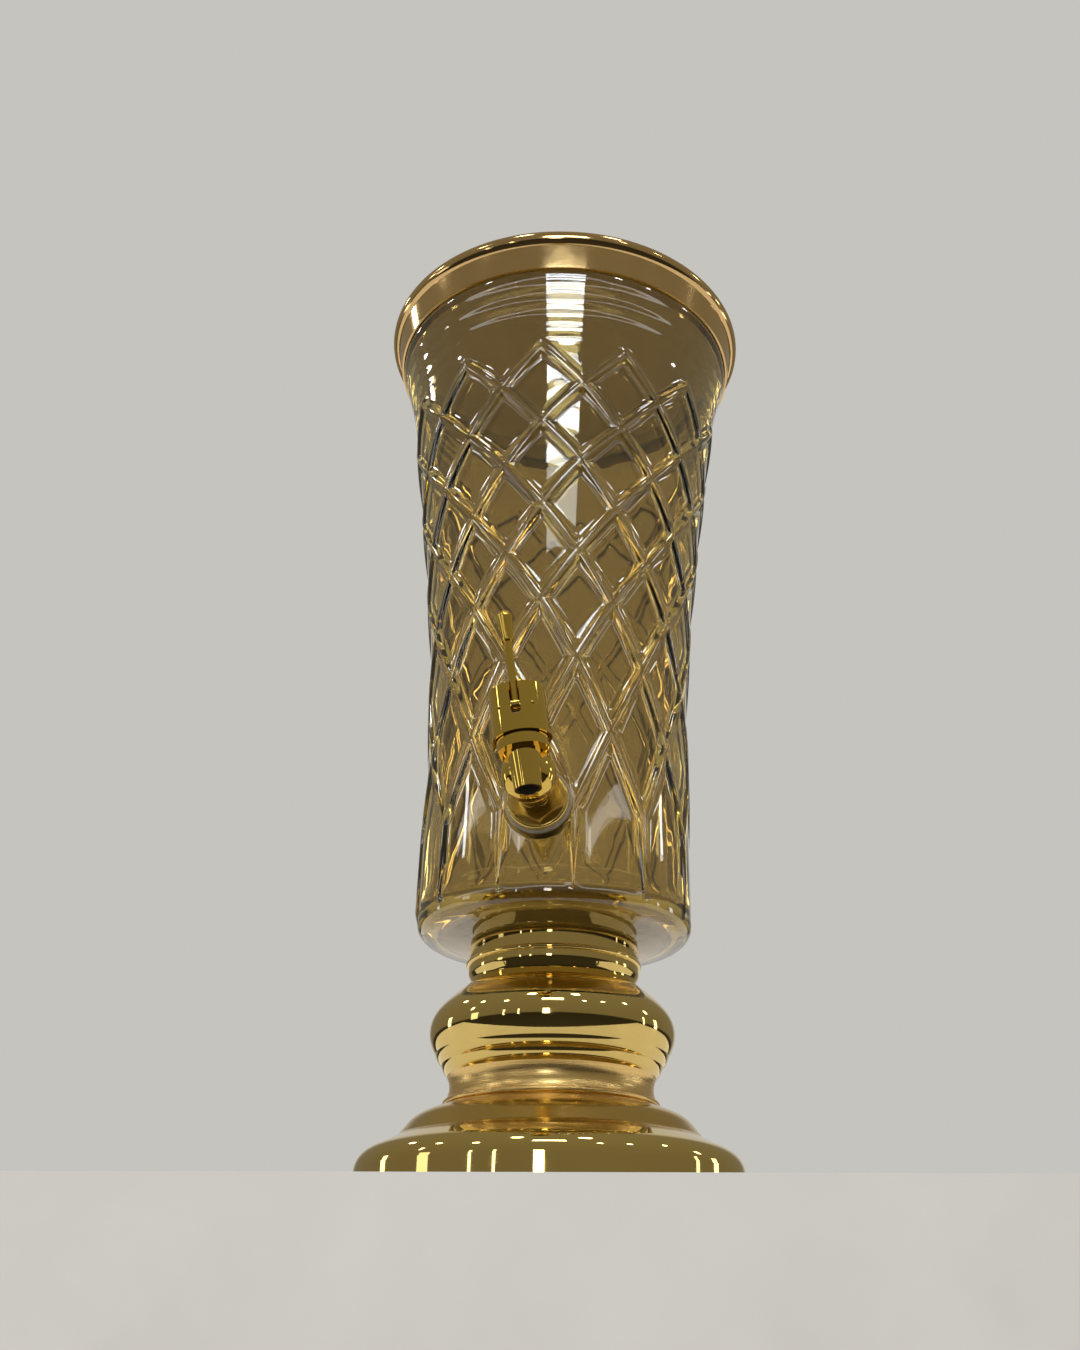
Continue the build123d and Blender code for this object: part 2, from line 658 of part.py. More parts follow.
def plain_stem():
    """Stem with its collar, its head, and a barb at the lower end that holds the plug."""
    barb_low = plug_low + PLUG_THICK / 2
    barb = disc(STEM_RADIUS + STEM_BARB, barb_low, barb_low + STEM_BARB)
    collar = disc(STEM_COLLAR, spring_low - STEM_COLLAR_THICK, spring_low)
    head = disc(STEM_HEAD, stem_head_low, stem_head_low + STEM_HEAD_THICK)
    return disc(STEM_RADIUS, barb_low, stem_head_low) + barb + collar + head


def valve_stem():
    return tap_place(plain_stem())


def valve_plug():
    return tap_place(disc(PLUG_RADIUS, plug_low, plug_low + PLUG_THICK) - plain_stem())


def coil_path(radius, low, high, turns):
    """Helix made of tangent arcs, two to each quarter turn."""
    quarters = 4 * turns
    rise = (high - low) / quarters

    def place(step):
        angle = step * math.pi / 2
        return Vector(radius * math.cos(angle), radius * math.sin(angle), low + rise * step)

    def heading(step):
        angle = step * math.pi / 2
        return Vector(-radius * math.sin(angle), radius * math.cos(angle), rise * 2 / math.pi).normalized()

    edges = []
    for step in range(quarters):
        start, end = place(step), place(step + 1)
        out, back = heading(step), heading(step + 1)
        chord = end - start
        both = out + back
        square = both.dot(both) - 4
        reach = chord.dot(both)
        leg = (reach - math.sqrt(reach ** 2 - square * chord.dot(chord))) / square
        middle = (start + out * leg + end - back * leg) * 0.5
        across = (end - back * leg) - (start + out * leg)
        edges += [Edge.make_tangent_arc(start, out, middle), Edge.make_tangent_arc(middle, across, end)]
    return Wire(edges)


def valve_spring():
    margin = SPRING_WIRE + THREAD_CLEAR
    path = coil_path(SPRING_RADIUS, spring_low + margin, TAP_NECK_TOP - margin, SPRING_TURNS)
    section = Plane(origin=path @ 0, z_dir=path % 0) * Circle(SPRING_WIRE)
    return tap_place(sweep(section, path=path))


def spring_plate():
    plate = ring(STEM_RADIUS + STEM_CLEAR, TAP_NECK_RADIUS, TAP_NECK_TOP, TAP_NECK_TOP + SPRING_PLATE)
    return tap_place(plate)


def lever_slot():
    """Slot down the bonnet's front and across its roof, with a round lower end."""
    half = LEVER_WIDTH / 2 + SLOT_CLEAR
    low = bonnet_top - SLOT_DEPTH
    back = LEVER_PIVOT - LEVER_HUB - SLOT_CLEAR
    high = bonnet_top + OVERCUT
    sides = Polyline((-half, low + half), (-half, high), (half, high), (half, low + half))
    outline = make_face(sides + ThreePointArc((half, low + half), (0, low), (-half, low + half)))
    deep = BONNET_RADIUS + BONNET_LIP + OVERCUT
    return Pos(0, -back, 0) * extrude(Plane.XZ * outline, deep - back)


def pin_hole(clearance):
    reach = math.sqrt(BONNET_RADIUS ** 2 - LEVER_PIVOT ** 2) - PIN_SETBACK
    pin = Rot(0, 90, 0) * Cylinder(PIN_RADIUS + clearance, 2 * reach)
    return Pos(0, -LEVER_PIVOT, LEVER_PIVOT_HEIGHT) * pin


def tap_bonnet():
    shoulder = TAP_NECK_TOP + SPRING_PLATE
    roof = bonnet_top - BONNET_ROOF
    shell = disc(BONNET_RADIUS, BONNET_LOW, bonnet_top)
    top_edge = shell.edges().filter_by(GeomType.CIRCLE).sort_by(Axis.Z)[-1]
    shell = fillet(top_edge, BONNET_WALL / 3)
    shell += disc(BONNET_RADIUS + BONNET_LIP, BONNET_LOW, BONNET_LOW + BONNET_LIP_HEIGHT)
    shell -= disc(BONNET_RADIUS - BONNET_WALL, BONNET_LOW, shoulder)
    shell -= disc(BONNET_RADIUS - BONNET_LIP_WALL + BONNET_LIP, BONNET_LOW, NECK_RING_TOP + RING_CLEAR)
    shell -= disc(TAP_NECK_RADIUS - BONNET_WALL / 4, shoulder, roof)
    return tap_place(shell - lever_slot() - pin_hole(0))


def lever_pin():
    return tap_place(pin_hole(0))


def lever_rod():
    """Round rod that stands on the pivot, with a thin ring and a grip that swells to a round tip."""
    ring_top = LEVER_LENGTH - LEVER_GRIP
    ring_low = ring_top - LEVER_RING_THICK
    bend = LEVER_TIP * math.sqrt(0.5)
    return lathe([
        Polyline((LEVER_ROD, 0), (LEVER_ROD, ring_low), (LEVER_RING, ring_low), (LEVER_RING, ring_top),
                 (LEVER_GRIP_FOOT, ring_top), (LEVER_TIP, LEVER_LENGTH)),
        ThreePointArc((LEVER_TIP, LEVER_LENGTH), (bend, LEVER_LENGTH + bend), (0, LEVER_LENGTH + LEVER_TIP)),
        Polyline((0, LEVER_LENGTH + LEVER_TIP), (0, 0), (LEVER_ROD, 0)),
    ])


def tap_lever():
    """Rod and grip, with a hub on the pin and a nose under the stem's head."""
    nose = Pos(LEVER_NOSE / 2, 0) * Rectangle(LEVER_NOSE, 2 * LEVER_NOSE_HALF)
    hub = extrude(Plane.YZ * (Circle(LEVER_HUB) + nose), LEVER_WIDTH / 2, both=True)
    lever = hub + Rot(LEVER_SWEEP, 0, 0) * lever_rod()
    lever = Pos(0, -LEVER_PIVOT, LEVER_PIVOT_HEIGHT) * lever
    return tap_place(lever - pin_hole(PIN_CLEAR))


def dome_line(drop, start):
    edge = RIM_RADIUS - GUTTER_IN
    foot = gutter_low + LID_SHEET - drop
    top = dome_top - drop
    return Spline(
        (start, foot), (edge * 0.84, foot + DOME_RISE * 0.42), (KNOB_FLAT, top),
        tangents=((-0.6, 1), (-1, 0.35), (-1, 0)))


def lid_shell():
    """Flared skirt, rolled bead, gutter that the seal sits under, and a shallow dome."""
    skirt_top = skirt_low + SKIRT_HEIGHT
    flare = skirt_outside + SKIRT_FLARE
    bead_top = skirt_top + BEAD_HEIGHT
    gutter = gutter_low + LID_SHEET
    gutter_out = RIM_RADIUS + SKIRT_GAP
    gutter_in = RIM_RADIUS - GUTTER_IN
    hole = KNOB_SCREW + KNOB_SCREW_CLEAR
    bead_in = gutter_out + LID_SHEET
    outside = [
        Line((skirt_outside, skirt_low), (flare, skirt_top)),
        ThreePointArc((flare, skirt_top), (flare + BEAD_PROUD, skirt_top + BEAD_HEIGHT / 2),
                      (flare, bead_top)),
        ThreePointArc((flare, bead_top), ((flare + bead_in) / 2, bead_top - LID_SHEET / 2),
                      (bead_in, bead_top - LID_SHEET * 1.5)),
        Line((bead_in, bead_top - LID_SHEET * 1.5), (gutter_out, gutter)),
        Line((gutter_out, gutter), (gutter_in, gutter)),
        dome_line(0, gutter_in),
        Line((KNOB_FLAT, dome_top), (hole, dome_top)),
    ]
    inside = [
        Line((skirt_inside, skirt_low), (flare - SKIRT_WALL, skirt_top)),
        Line((flare - SKIRT_WALL, skirt_top), (gutter_out, gutter_low)),
        Line((gutter_out, gutter_low), (gutter_in - LID_SHEET, gutter_low)),
        dome_line(LID_SHEET, gutter_in - LID_SHEET),
        Line((KNOB_FLAT, dome_top - LID_SHEET), (hole, dome_top - LID_SHEET)),
    ]
    return lathe(between(outside, inside))


def lid_seal():
    """Silicone ring on the jar's rim, with a lip that drops into the mouth."""
    mouth = RIM_RADIUS - JAR_THICK - SEAL_CLEAR
    low = rim_top + SEAL_GAP
    flat = ring(mouth - SEAL_LIP, RIM_RADIUS, low, gutter_low)
    return flat + ring(mouth - SEAL_LIP, mouth, rim_top - SEAL_LIP_DEPTH, low)


def lid_knob():
    top = dome_top + KNOB_HEIGHT
    base = dome_top + KNOB_BASE_THICK
    throat = dome_top + KNOB_NECK_HEIGHT
    ball = (throat + top) / 2
    return lathe([
        Polyline((KNOB_SCREW + KNOB_SCREW_CLEAR, dome_top), (KNOB_BASE, dome_top), (KNOB_BASE, base)),
        Spline((KNOB_BASE, base), (KNOB_NECK, throat), tangents=((-1, 0.5), (0, 1))),
        Spline((KNOB_NECK, throat), (KNOB_RADIUS, ball), (0, top), tangents=((1, 0.3), (0, 1), (-1, 0))),
        Polyline((0, top), (0, dome_top + KNOB_SCREW_DEPTH),
                 (KNOB_SCREW + KNOB_SCREW_CLEAR, dome_top + KNOB_SCREW_DEPTH),
                 (KNOB_SCREW + KNOB_SCREW_CLEAR, dome_top)),
    ])


def knob_washer():
    top = dome_top - LID_SHEET
    return ring(KNOB_SCREW + KNOB_SCREW_CLEAR, KNOB_WASHER, top - KNOB_WASHER_THICK, top)


def knob_screw():
    low = dome_top - LID_SHEET - KNOB_WASHER_THICK
    head = disc(KNOB_SCREW_HEAD, low - KNOB_SCREW_HEAD_THICK, low)
    return head + disc(KNOB_SCREW, low, dome_top + KNOB_SCREW_DEPTH - KNOB_SCREW_CLEAR)


PIECES = (
    foot_pad, foot_plate, plate_screws, ballast_disc, foot_shell, waist_sleeve, bulb_shell, collar_cup,
    seat_ring, tie_rod, rod_washers, rod_nuts,
    glass_jar,
    tap_body, flange_nut, outer_gasket, inner_gasket, inner_washer, lock_nut, gland_bush, stem_o_ring,
    valve_stem, valve_plug, valve_spring, spring_plate, tap_bonnet, lever_pin, tap_lever,
    lid_shell, lid_seal, lid_knob, knob_washer, knob_screw,
)

os.makedirs("parts", exist_ok=True)
for piece in PIECES:
    export_step(piece(), f"parts/{piece.__name__}.step")
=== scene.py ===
"""Looks of the glass beverage dispenser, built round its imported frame. Metres, +Z up, the tap faces -Y."""
import math

import bmesh
import bpy
import numpy as np
from mathutils import Matrix, Vector, noise


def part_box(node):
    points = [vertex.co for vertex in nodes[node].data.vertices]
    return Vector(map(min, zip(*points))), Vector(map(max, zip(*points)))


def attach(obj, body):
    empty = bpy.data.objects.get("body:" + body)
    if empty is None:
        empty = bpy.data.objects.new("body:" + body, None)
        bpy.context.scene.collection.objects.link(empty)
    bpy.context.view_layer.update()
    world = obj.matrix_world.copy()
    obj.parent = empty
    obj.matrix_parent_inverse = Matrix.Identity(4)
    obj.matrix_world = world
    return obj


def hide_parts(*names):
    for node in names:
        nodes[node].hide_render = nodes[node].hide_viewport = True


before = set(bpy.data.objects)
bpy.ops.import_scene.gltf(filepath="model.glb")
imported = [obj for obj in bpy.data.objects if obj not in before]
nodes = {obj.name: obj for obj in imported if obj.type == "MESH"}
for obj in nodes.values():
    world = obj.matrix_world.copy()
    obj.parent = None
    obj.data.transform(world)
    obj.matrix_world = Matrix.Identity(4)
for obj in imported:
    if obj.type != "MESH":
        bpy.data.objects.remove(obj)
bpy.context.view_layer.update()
scene = bpy.context.scene
scene.view_settings.view_transform = "Standard"
MM = 0.001

# Camera, fitted to the photograph's frame of 1080 x 1350 pixels
FRAME_HEIGHT = 1350
FOCAL_PIXELS = 1365
SENSOR = 36.0                           # millimetres
CLIP_START = 0.01
CAMERA_AZIMUTH = math.radians(5.5)      # from the tap's side, towards +X
CAMERA_DISTANCE = 0.637                 # from the jar's axis
CAMERA_OFFSET = -0.0191                 # the axis stands this far right of the middle of the view
CAMERA_HEIGHT = -0.057                  # below the surface that the dispenser stands on
CAMERA_PITCH = math.radians(26.53)
CAMERA_ROLL = math.radians(0.3)
CAMERA_SHIFT = -0.0415                  # the photograph's frame stands left of its view's middle

# Shelf that the dispenser stands on
SHELF_REACH = 0.1378                    # from the axis to the shelf's front edge
SHELF_YAW = math.radians(-1.27)         # turn of that edge out of square with the view
SHELF_THICK = 0.075
SHELF_HALF_WIDTH = 1.5
SHELF_DEPTH = 2.2

# Backdrop, and the plain light that the sky gives to dull surfaces
BACKDROP = (0.56, 0.55, 0.52)           # what the camera, metal and glass see behind the dispenser
SKY_COLOUR = (1.0, 0.97, 0.92)
SKY_LEVEL = 0.6

# Shell of dark flats on the camera's side, open behind the dispenser
STUDIO_RADIUS = 1.8
STUDIO_MIDDLE = 0.15                    # height of the shell's middle, which the lamps stand round too
FLATS_DETAIL = 5
OPENING = math.radians(17)              # half of the gap behind the dispenser
OPENING_EDGE = math.radians(12)         # the flats fade in over this angle beside it
# Tones of the flats by height: 0 is their lowest point, 0.5 their middle and 1 their highest point
FLAT_TONES = (
    (0.00, (0.05, 0.045, 0.035)), (0.47, (0.03, 0.027, 0.020)), (0.49, (0.05, 0.045, 0.033)),
    (0.505, (0.20, 0.185, 0.145)), (0.75, (0.23, 0.21, 0.16)), (1.00, (0.25, 0.23, 0.18)))

# Upright cards beside the backdrop's middle
CARD_AZIMUTH = math.radians(22)         # of each card's middle, from straight behind
CARD_DISTANCE = 1.5
CARD_HEIGHT = 0.9                       # of each card's middle
CARD_WIDTH = 0.34
CARD_TALL = 2.2
CARD_TONES = (0.13, 0.105, 0.035), (0.17, 0.135, 0.045)

# Window of a few panes close in front of the jar's mouth: height, size and level of each pane
WINDOW_DISTANCE = 0.45
WINDOW_SIDE = 0.008                     # from the jar's axis to the view's right
WINDOW_WIDTH = 0.175
WINDOW_COLOUR = (0.88, 0.96, 1.0)
WINDOW_PANES = ((0.5585, 0.019, 11.0), (0.537, 0.012, 11.0), (0.522, 0.0135, 11.0), (0.501, 0.013, 11.0),
                (0.465, 0.05, 2.5))

# Lamps, placed by degrees from the camera's side and above the horizon
LAMP_DISTANCE = 1.5
LOW_STRIP_ELEVATION = 3
LOW_STRIP_TALL = 0.4
# Azimuth, width and level of narrow strips near the horizon
LOW_STRIPS = ((-4.5, 0.15, 7.0), (-29, 0.04, 4.0), (-43, 0.04, 4.0), (-73, 0.2, 1.5), (-106, 0.12, 3.0),
              (92, 0.06, 3.0), (109, 0.12, 3.0))
# Azimuth, elevation, width, height and level of strips at the sides, and of those behind the glass
HIGH_STRIPS = ((-80, 21.5, 0.07, 0.16, 6.0), (100, 21.5, 0.08, 0.16, 6.0))
BACK_STRIPS = ((-148, 28, 0.12, 1.5, 8.5), (148, 28, 0.12, 1.5, 8.5))
# Azimuth, elevation and width of round spots
SPOTS = ((-110, 38, 0.10), (-78, 38, 0.10), (-48, 38, 0.10), (34, 38, 0.08), (55, 38, 0.08), (84, 38, 0.09),
         (-30, 62, 0.16), (35, 62, 0.16), (180, 55, 0.1))
SPOT_LEVEL = 14.0
# Azimuth and elevation of wide strips for the glass alone
ARC_STRIPS = tuple((azimuth, elevation) for azimuth in (-58, 0, 58) for elevation in (14, 22))
ARC_SIZE = (1.6, 0.05)
ARC_LEVEL = 1.5

# Jar, as in the CAD model
JAR_THICK = 5.0 * MM
RIM_BAND = 14.0 * MM                    # upright band below the jar's top edge
RIM_RADIUS = 92.6 * MM
JAR_CORNER = 6.5 * MM
JAR_BOWL = 10.0 * MM
BOSS_RADIUS = 36.8 * MM
BOSS_HEIGHT = 12.0 * MM
FLOOR_ABOVE_BOSS = 21.0 * MM            # the jar's floor above the boss's underside
WALL_ABOVE_BOSS = 21.55 * MM            # foot of the outer wall above the boss's underside
ROWS_BELOW_RIM = 55.0 * MM              # first row of rib crossings below the jar's top edge
ROW_PITCHES = [pitch * MM for pitch in (21, 22, 22, 24, 25, 26, 31, 36, 39)]
COLUMNS = 12
LATTICE_TURN = math.radians(-1.0)       # of a column of crossings from the tap
RIB_HALF = 3.0 * MM
RIB_HEIGHT = 1.2 * MM
PAD_RADIUS = 16.5 * MM
PAD_PROUD = 1.6 * MM
PAD_INSIDE = 1.8 * MM
INNER_PAD_RADIUS = 15.2 * MM
HOLE_RADIUS = 8.75 * MM
HOLE_OVERRUN = 3 * JAR_THICK            # the hole's cutter reaches this far in and out from the outer wall

# Lower ends of the upright ribs under the lattice, close to the CAD model's
RIB_NARROWING = 0.85                    # share of its width that a rib loses on its way down
RIB_RUNOUT = 9                          # ribs sink into the wall over the last ninth of their length

# Unevenness of the pressed glass
WAVINESS = 0.10 * MM                    # of the inner wall
WAVES_ROUND = 4                         # radius of the ring on which its noise is read, in waves
WAVES_UP = 60                           # waves on a metre of its height
RIPPLE = 0.10 * MM                      # rings round the flare, above the lattice
RIPPLE_PITCH = 8.5 * MM

# Mesh lines of the jar
RIB_STEPS = 6                           # on half a rib
CELL_STEPS = 4                          # on half a cell's floor
PERIOD = 2 * (RIB_STEPS + CELL_STEPS)
WALL_SAMPLES = 13                       # heights at which the CAD jar is measured
FLARE_LINES = 40
BAND_LINES = 5
LIP_STEPS = 12
INSIDE_LINES = 90
CORNER_STEPS = 8
FOOT_STEPS = 24
UNDERSIDE_SHARES = (0.33, 0.67, 1)      # between the corner and the boss
BAR_SIDES = 96
SHARP_ANGLE = math.radians(50)

# Places where a material changes
LID_INSIDE = 92.9 * MM                  # the lid's underside is paler within this radius
LID_UPWARD = 0.3                        # and only on faces that look up less than this
MOULDING_FOOT = 25.5 * MM               # the foot is polished below this height
MOULDING_SATIN = 27.5 * MM              # and satin, in a tone darkened as painted shade, above this one
SEAT_EDGE = 0.5 * MM                    # the jar's seat is ground up to this far below the boss's top
SEAT_FADE = 1.0 * MM                    # and fully ground up to this far below it
FLOOR_REACH = 1.0 * MM                  # the jar's floor is matt this far up and down
FLOOR_LEVEL = 0.9                       # where it faces up or down more than this
TAP_LEAN = math.radians(-8.0)
SPOUT_DROP = 10.5 * MM                  # outlet below the shank's middle line
SPOUT_FRONT = 11.2 * MM                 # the spout's axis behind the tap body's front
SPOUT_SHADE_RADIUS = 5.0 * MM                   # shade is painted into the spout within this radius of its axis
SPOUT_SHADE_REACH = 9.0 * MM                   # and up to this height above its mouth

# Colours of the plating
GOLD = (0.80, 0.60, 0.21)
# satin plating of the foot's moulding, with its tone darkened as painted shade
MOULDING_SHADED_GOLD = (0.72, 0.48, 0.14)
SATIN_GOLD = (0.90, 0.63, 0.25)
LID_GOLD = (0.74, 0.51, 0.23)
TAP_GOLD = (0.79, 0.55, 0.12)
# plating of the flange nut, brightened with painted light where it sits in the tap body's shade
NUT_LIT_GOLD = (0.88, 0.64, 0.20)

# Darker and lighter tone of the other materials
LID_LACQUER = (0.86, 0.80, 0.68), (0.93, 0.87, 0.75)
# painted shade inside the spout: its darker and lighter tone
BORE_SHADE_TONES = (0.02, 0.016, 0.01), (0.04, 0.03, 0.018)
GLASS_TONES = (0.605, 0.495, 0.305), (0.64, 0.53, 0.335)
SILICONE_TONES = (0.80, 0.74, 0.60), (0.88, 0.83, 0.70)
RUBBER_TONES = (0.02, 0.02, 0.02), (0.045, 0.045, 0.045)
STEEL_TONES = (0.52, 0.52, 0.51), (0.64, 0.63, 0.62)
IRON_TONES = (0.09, 0.085, 0.08), (0.17, 0.16, 0.15)
PLASTIC_TONES = (0.80, 0.80, 0.77), (0.86, 0.86, 0.83)
SHELF_TOP_TONES = (0.84, 0.81, 0.76), (0.88, 0.85, 0.80)
SHELF_SIDE_TONES = (0.80, 0.78, 0.76), (0.84, 0.82, 0.80)

# Roughness, depth and grain
LACQUER_ROUGH = 0.3
# roughness of the painted shade inside the spout
BORE_SHADE_ROUGH = 0.5
MOULDING_ROUGH = 0.14                   # added to the polished foot's
FLOOR_ROUGH = 0.4                       # of the jar's floor, so that it doesn't mirror the dark cup
GROUND_ROUGH = 0.6                      # of the ground seat, on the boss
GLASS_DEPTH = (0.75, 0.66, 0.05)        # tint of light that crosses the glass
GLASS_DENSITY = 85.0
NOISE_SPAN = (0.3, 0.7)                 # most of a noise lies between these values
SMUDGE_SPAN = (0.45, 0.75)              # smudges show only where their noise is strong
PLATING_PATCH = 0.03                    # size of the patches in a polished plating's tone
SATIN_GRAIN = 0.00035
RINGS = (0.03, 0.03, 1)                 # stretch that draws a noise out into rings round the axis
FINE_RINGS = (0.02, 0.02, 1)

# Directions as the camera sees them: towards it, to its right, and up
front = Vector((math.sin(CAMERA_AZIMUTH), -math.cos(CAMERA_AZIMUTH), 0))
right = Vector((math.cos(CAMERA_AZIMUTH), math.sin(CAMERA_AZIMUTH), 0))
up = Vector((0, 0, 1))

# Places taken from the frame
jar_low, jar_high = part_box("glass_jar")
gasket_low, gasket_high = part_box("outer_gasket")
tap_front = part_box("tap_body")[0].y
tap_z = (gasket_low.z + gasket_high.z) / 2
spout_axis = Vector((math.sin(TAP_LEAN), 0, math.cos(TAP_LEAN)))
spout_mouth = Vector((0, tap_front + SPOUT_FRONT, tap_z)) - spout_axis * SPOUT_DROP
rim_top = jar_high.z
flare_top = rim_top - RIM_BAND
jar_floor = jar_low.z + FLOOR_ABOVE_BOSS
wall_foot = jar_low.z + WALL_ABOVE_BOSS
boss_top = jar_low.z + BOSS_HEIGHT
half_column = math.pi / COLUMNS
last_row = len(ROW_PITCHES)
row_heights = [rim_top - ROWS_BELOW_RIM - sum(ROW_PITCHES[:row]) for row in range(last_row + 1)]


def new_object(name, data):
    made = bpy.data.objects.new(name, data)
    scene.collection.objects.link(made)
    return made


def make_camera():
    data = bpy.data.cameras.new("camera")
    data.sensor_width = SENSOR
    data.lens = FOCAL_PIXELS / FRAME_HEIGHT * SENSOR
    data.shift_x = CAMERA_SHIFT
    data.clip_start = CLIP_START
    camera = new_object("camera", data)
    look = -front * math.cos(CAMERA_PITCH) + up * math.sin(CAMERA_PITCH)
    top = front * math.sin(CAMERA_PITCH) + up * math.cos(CAMERA_PITCH)
    axis_x = right * math.cos(CAMERA_ROLL) + top * math.sin(CAMERA_ROLL)
    axis_y = top * math.cos(CAMERA_ROLL) - right * math.sin(CAMERA_ROLL)
    place = front * CAMERA_DISTANCE - right * CAMERA_OFFSET + up * CAMERA_HEIGHT
    turn = Matrix((axis_x, axis_y, -look)).transposed().to_4x4()
    camera.matrix_world = Matrix.Translation(place) @ turn
    scene.camera = camera


class Shader:
    """A material's node tree, with short ways to add and join nodes."""

    def __init__(self, name):
        self.material = bpy.data.materials.new(name)
        self.material.use_nodes = True
        self.tree = self.material.node_tree
        self.main = self.tree.nodes["Principled BSDF"]
        self.output = self.tree.nodes["Material Output"]

    def set(self, **values):
        """Sets inputs of the main shader. An underscore stands for a space."""
        for name, value in values.items():
            self.main.inputs[name.replace("_", " ")].default_value = value

    def feed(self, **sources):
        """Joins outputs of other nodes to inputs of the main shader. An underscore stands for a space."""
        for name, source in sources.items():
            self.join(source, self.main.inputs[name.replace("_", " ")])

    def node(self, kind, **inputs):
        made = self.tree.nodes.new("ShaderNode" + kind)
        for name, value in inputs.items():
            made.inputs[name].default_value = value
        return made

    def join(self, source, target):
        self.tree.links.new(source, target)

    def place(self):
        """The piece's own coordinates."""
        return self.node("TexCoord").outputs["Object"]

    def split(self, vector):
        """Outputs X, Y and Z of a vector."""
        made = self.node("SeparateXYZ")
        self.join(vector, made.inputs[0])
        return made.outputs

    def facing(self):
        """Outputs X, Y and Z of the way that a face looks."""
        return self.split(self.node("NewGeometry").outputs["True Normal"])

    def noise(self, size, detail=3.0, rough=0.5, stretch=(1, 1, 1)):
        """Noise whose blotches are about `size` metres, longer where the stretch is below 1."""
        mapping = self.node("Mapping", Scale=stretch)
        self.join(self.place(), mapping.inputs["Vector"])
        made = self.node("TexNoise", Scale=1 / size, Detail=detail, Roughness=rough)
        self.join(mapping.outputs["Vector"], made.inputs["Vector"])
        return made.outputs["Fac"]

    def ramp(self, value, low, high, start, end):
        """Maps a value between low and high to a number between start and end."""
        made = self.node("MapRange")
        for name, number in (("From Min", low), ("From Max", high), ("To Min", start), ("To Max", end)):
            made.inputs[name].default_value = number
        self.join(value, made.inputs["Value"])
        return made.outputs["Result"]

    def tint(self, value, *stops):
        """Colours along a value: stops of (position, colour)."""
        made = self.node("ValToRGB")
        elements = made.color_ramp.elements
        while len(elements) < len(stops):
            elements.new(0.5)
        for element, (position, colour) in zip(elements, stops):
            element.position = position
            element.color = (*colour, 1)
        self.join(value, made.inputs["Fac"])
        return made.outputs["Color"]

    def tones(self, value, darker, lighter):
        """A noise's change between two colours."""
        return self.tint(value, *zip(NOISE_SPAN, (darker, lighter)))

    def blend(self, share, first, second):
        """The first colour where share is 0, and the second where it is 1."""
        made = self.node("Mix")
        made.data_type = "RGBA"
        self.join(share, made.inputs["Factor"])
        colours = [slot for slot in made.inputs if slot.type == "RGBA"]
        for colour, slot in zip((first, second), colours):
            self.join(colour, slot)
        return next(slot for slot in made.outputs if slot.type == "RGBA")

    def math(self, operation, first, second=0):
        made = self.node("Math")
        made.operation = operation
        for slot, value in zip(made.inputs, (first, second)):
            if isinstance(value, (int, float)):
                slot.default_value = value
            else:
                self.join(value, slot)
        return made.outputs[0]

    def vector_math(self, operation, first, second=(0, 0, 0)):
        """Works on an output and a fixed vector. Lengths and dot products are numbers, others are vectors."""
        made = self.node("VectorMath")
        made.operation = operation
        made.inputs[1].default_value = second
        self.join(first, made.inputs[0])
        return made.outputs["Value" if operation in ("LENGTH", "DOT_PRODUCT") else "Vector"]

    def bump(self, height, strength, distance):
        made = self.node("Bump", Strength=strength, Distance=distance)
        self.join(height, made.inputs["Height"])
        self.feed(Normal=made.outputs["Normal"])


def plating(shader, colour, patch=PLATING_PATCH, change=0.05):
    """A metal's colour with patches that are a little darker."""
    darker = [channel * (1 - change) for channel in colour]
    return shader.tones(shader.noise(patch), darker, colour)


def smudges(shader, rough, smudge):
    """Roughness of a polish with faint smudges."""
    blotches = shader.noise(size=0.012, detail=5.0, rough=0.6)
    return shader.ramp(blotches, *SMUDGE_SPAN, rough, rough + smudge)


def polished_gold(name, colour, rough=0.04, smudge=0.05):
    """Mirror-bright plating with faint smudges, a slow change of tone and fine turning marks."""
    shader = Shader(name)
    shader.set(Metallic=1.0)
    shader.feed(Base_Color=plating(shader, colour), Roughness=smudges(shader, rough, smudge))
    marks = shader.noise(size=0.0012, detail=2.0, stretch=FINE_RINGS)
    shader.bump(marks, strength=0.02, distance=0.0002)
    return shader


def satin_gold(name, colour, rough=(0.20, 0.35)):
    """Brushed plating: rings of fine scratches and a sparkling grain."""
    shader = Shader(name)
    shader.set(Metallic=1.0, Anisotropic=0.35)
    rings = shader.noise(size=0.0006, stretch=RINGS)
    shader.feed(Base_Color=plating(shader, colour, patch=0.004, change=0.06),
                Roughness=shader.ramp(rings, *NOISE_SPAN, *rough))
    grain = shader.noise(SATIN_GRAIN, detail=2.0)
    shader.bump(shader.math("ADD", rings, grain), strength=0.25, distance=0.0001)
    return shader


def foot_gold(colour, shaded_satin_colour):
    """Polished wall below, and a satin moulding above it with a grain that sparkles, its tone darkened as
    painted shade.
    """
    shader = Shader("foot_gold")
    shader.set(Metallic=1.0)
    share = shader.ramp(shader.split(shader.place())["Z"], MOULDING_FOOT, MOULDING_SATIN, 0, 1)
    satin = shader.math("MULTIPLY", share, MOULDING_ROUGH)
    polish = smudges(shader, rough=0.03, smudge=0.05)
    shader.feed(Base_Color=shader.blend(share, plating(shader, colour), plating(shader, shaded_satin_colour)),
                Roughness=shader.math("ADD", polish, satin))
    grain = shader.math("MULTIPLY", shader.noise(SATIN_GRAIN, detail=2.0), satin)
    shader.bump(grain, strength=0.6, distance=0.0001)
    return shader


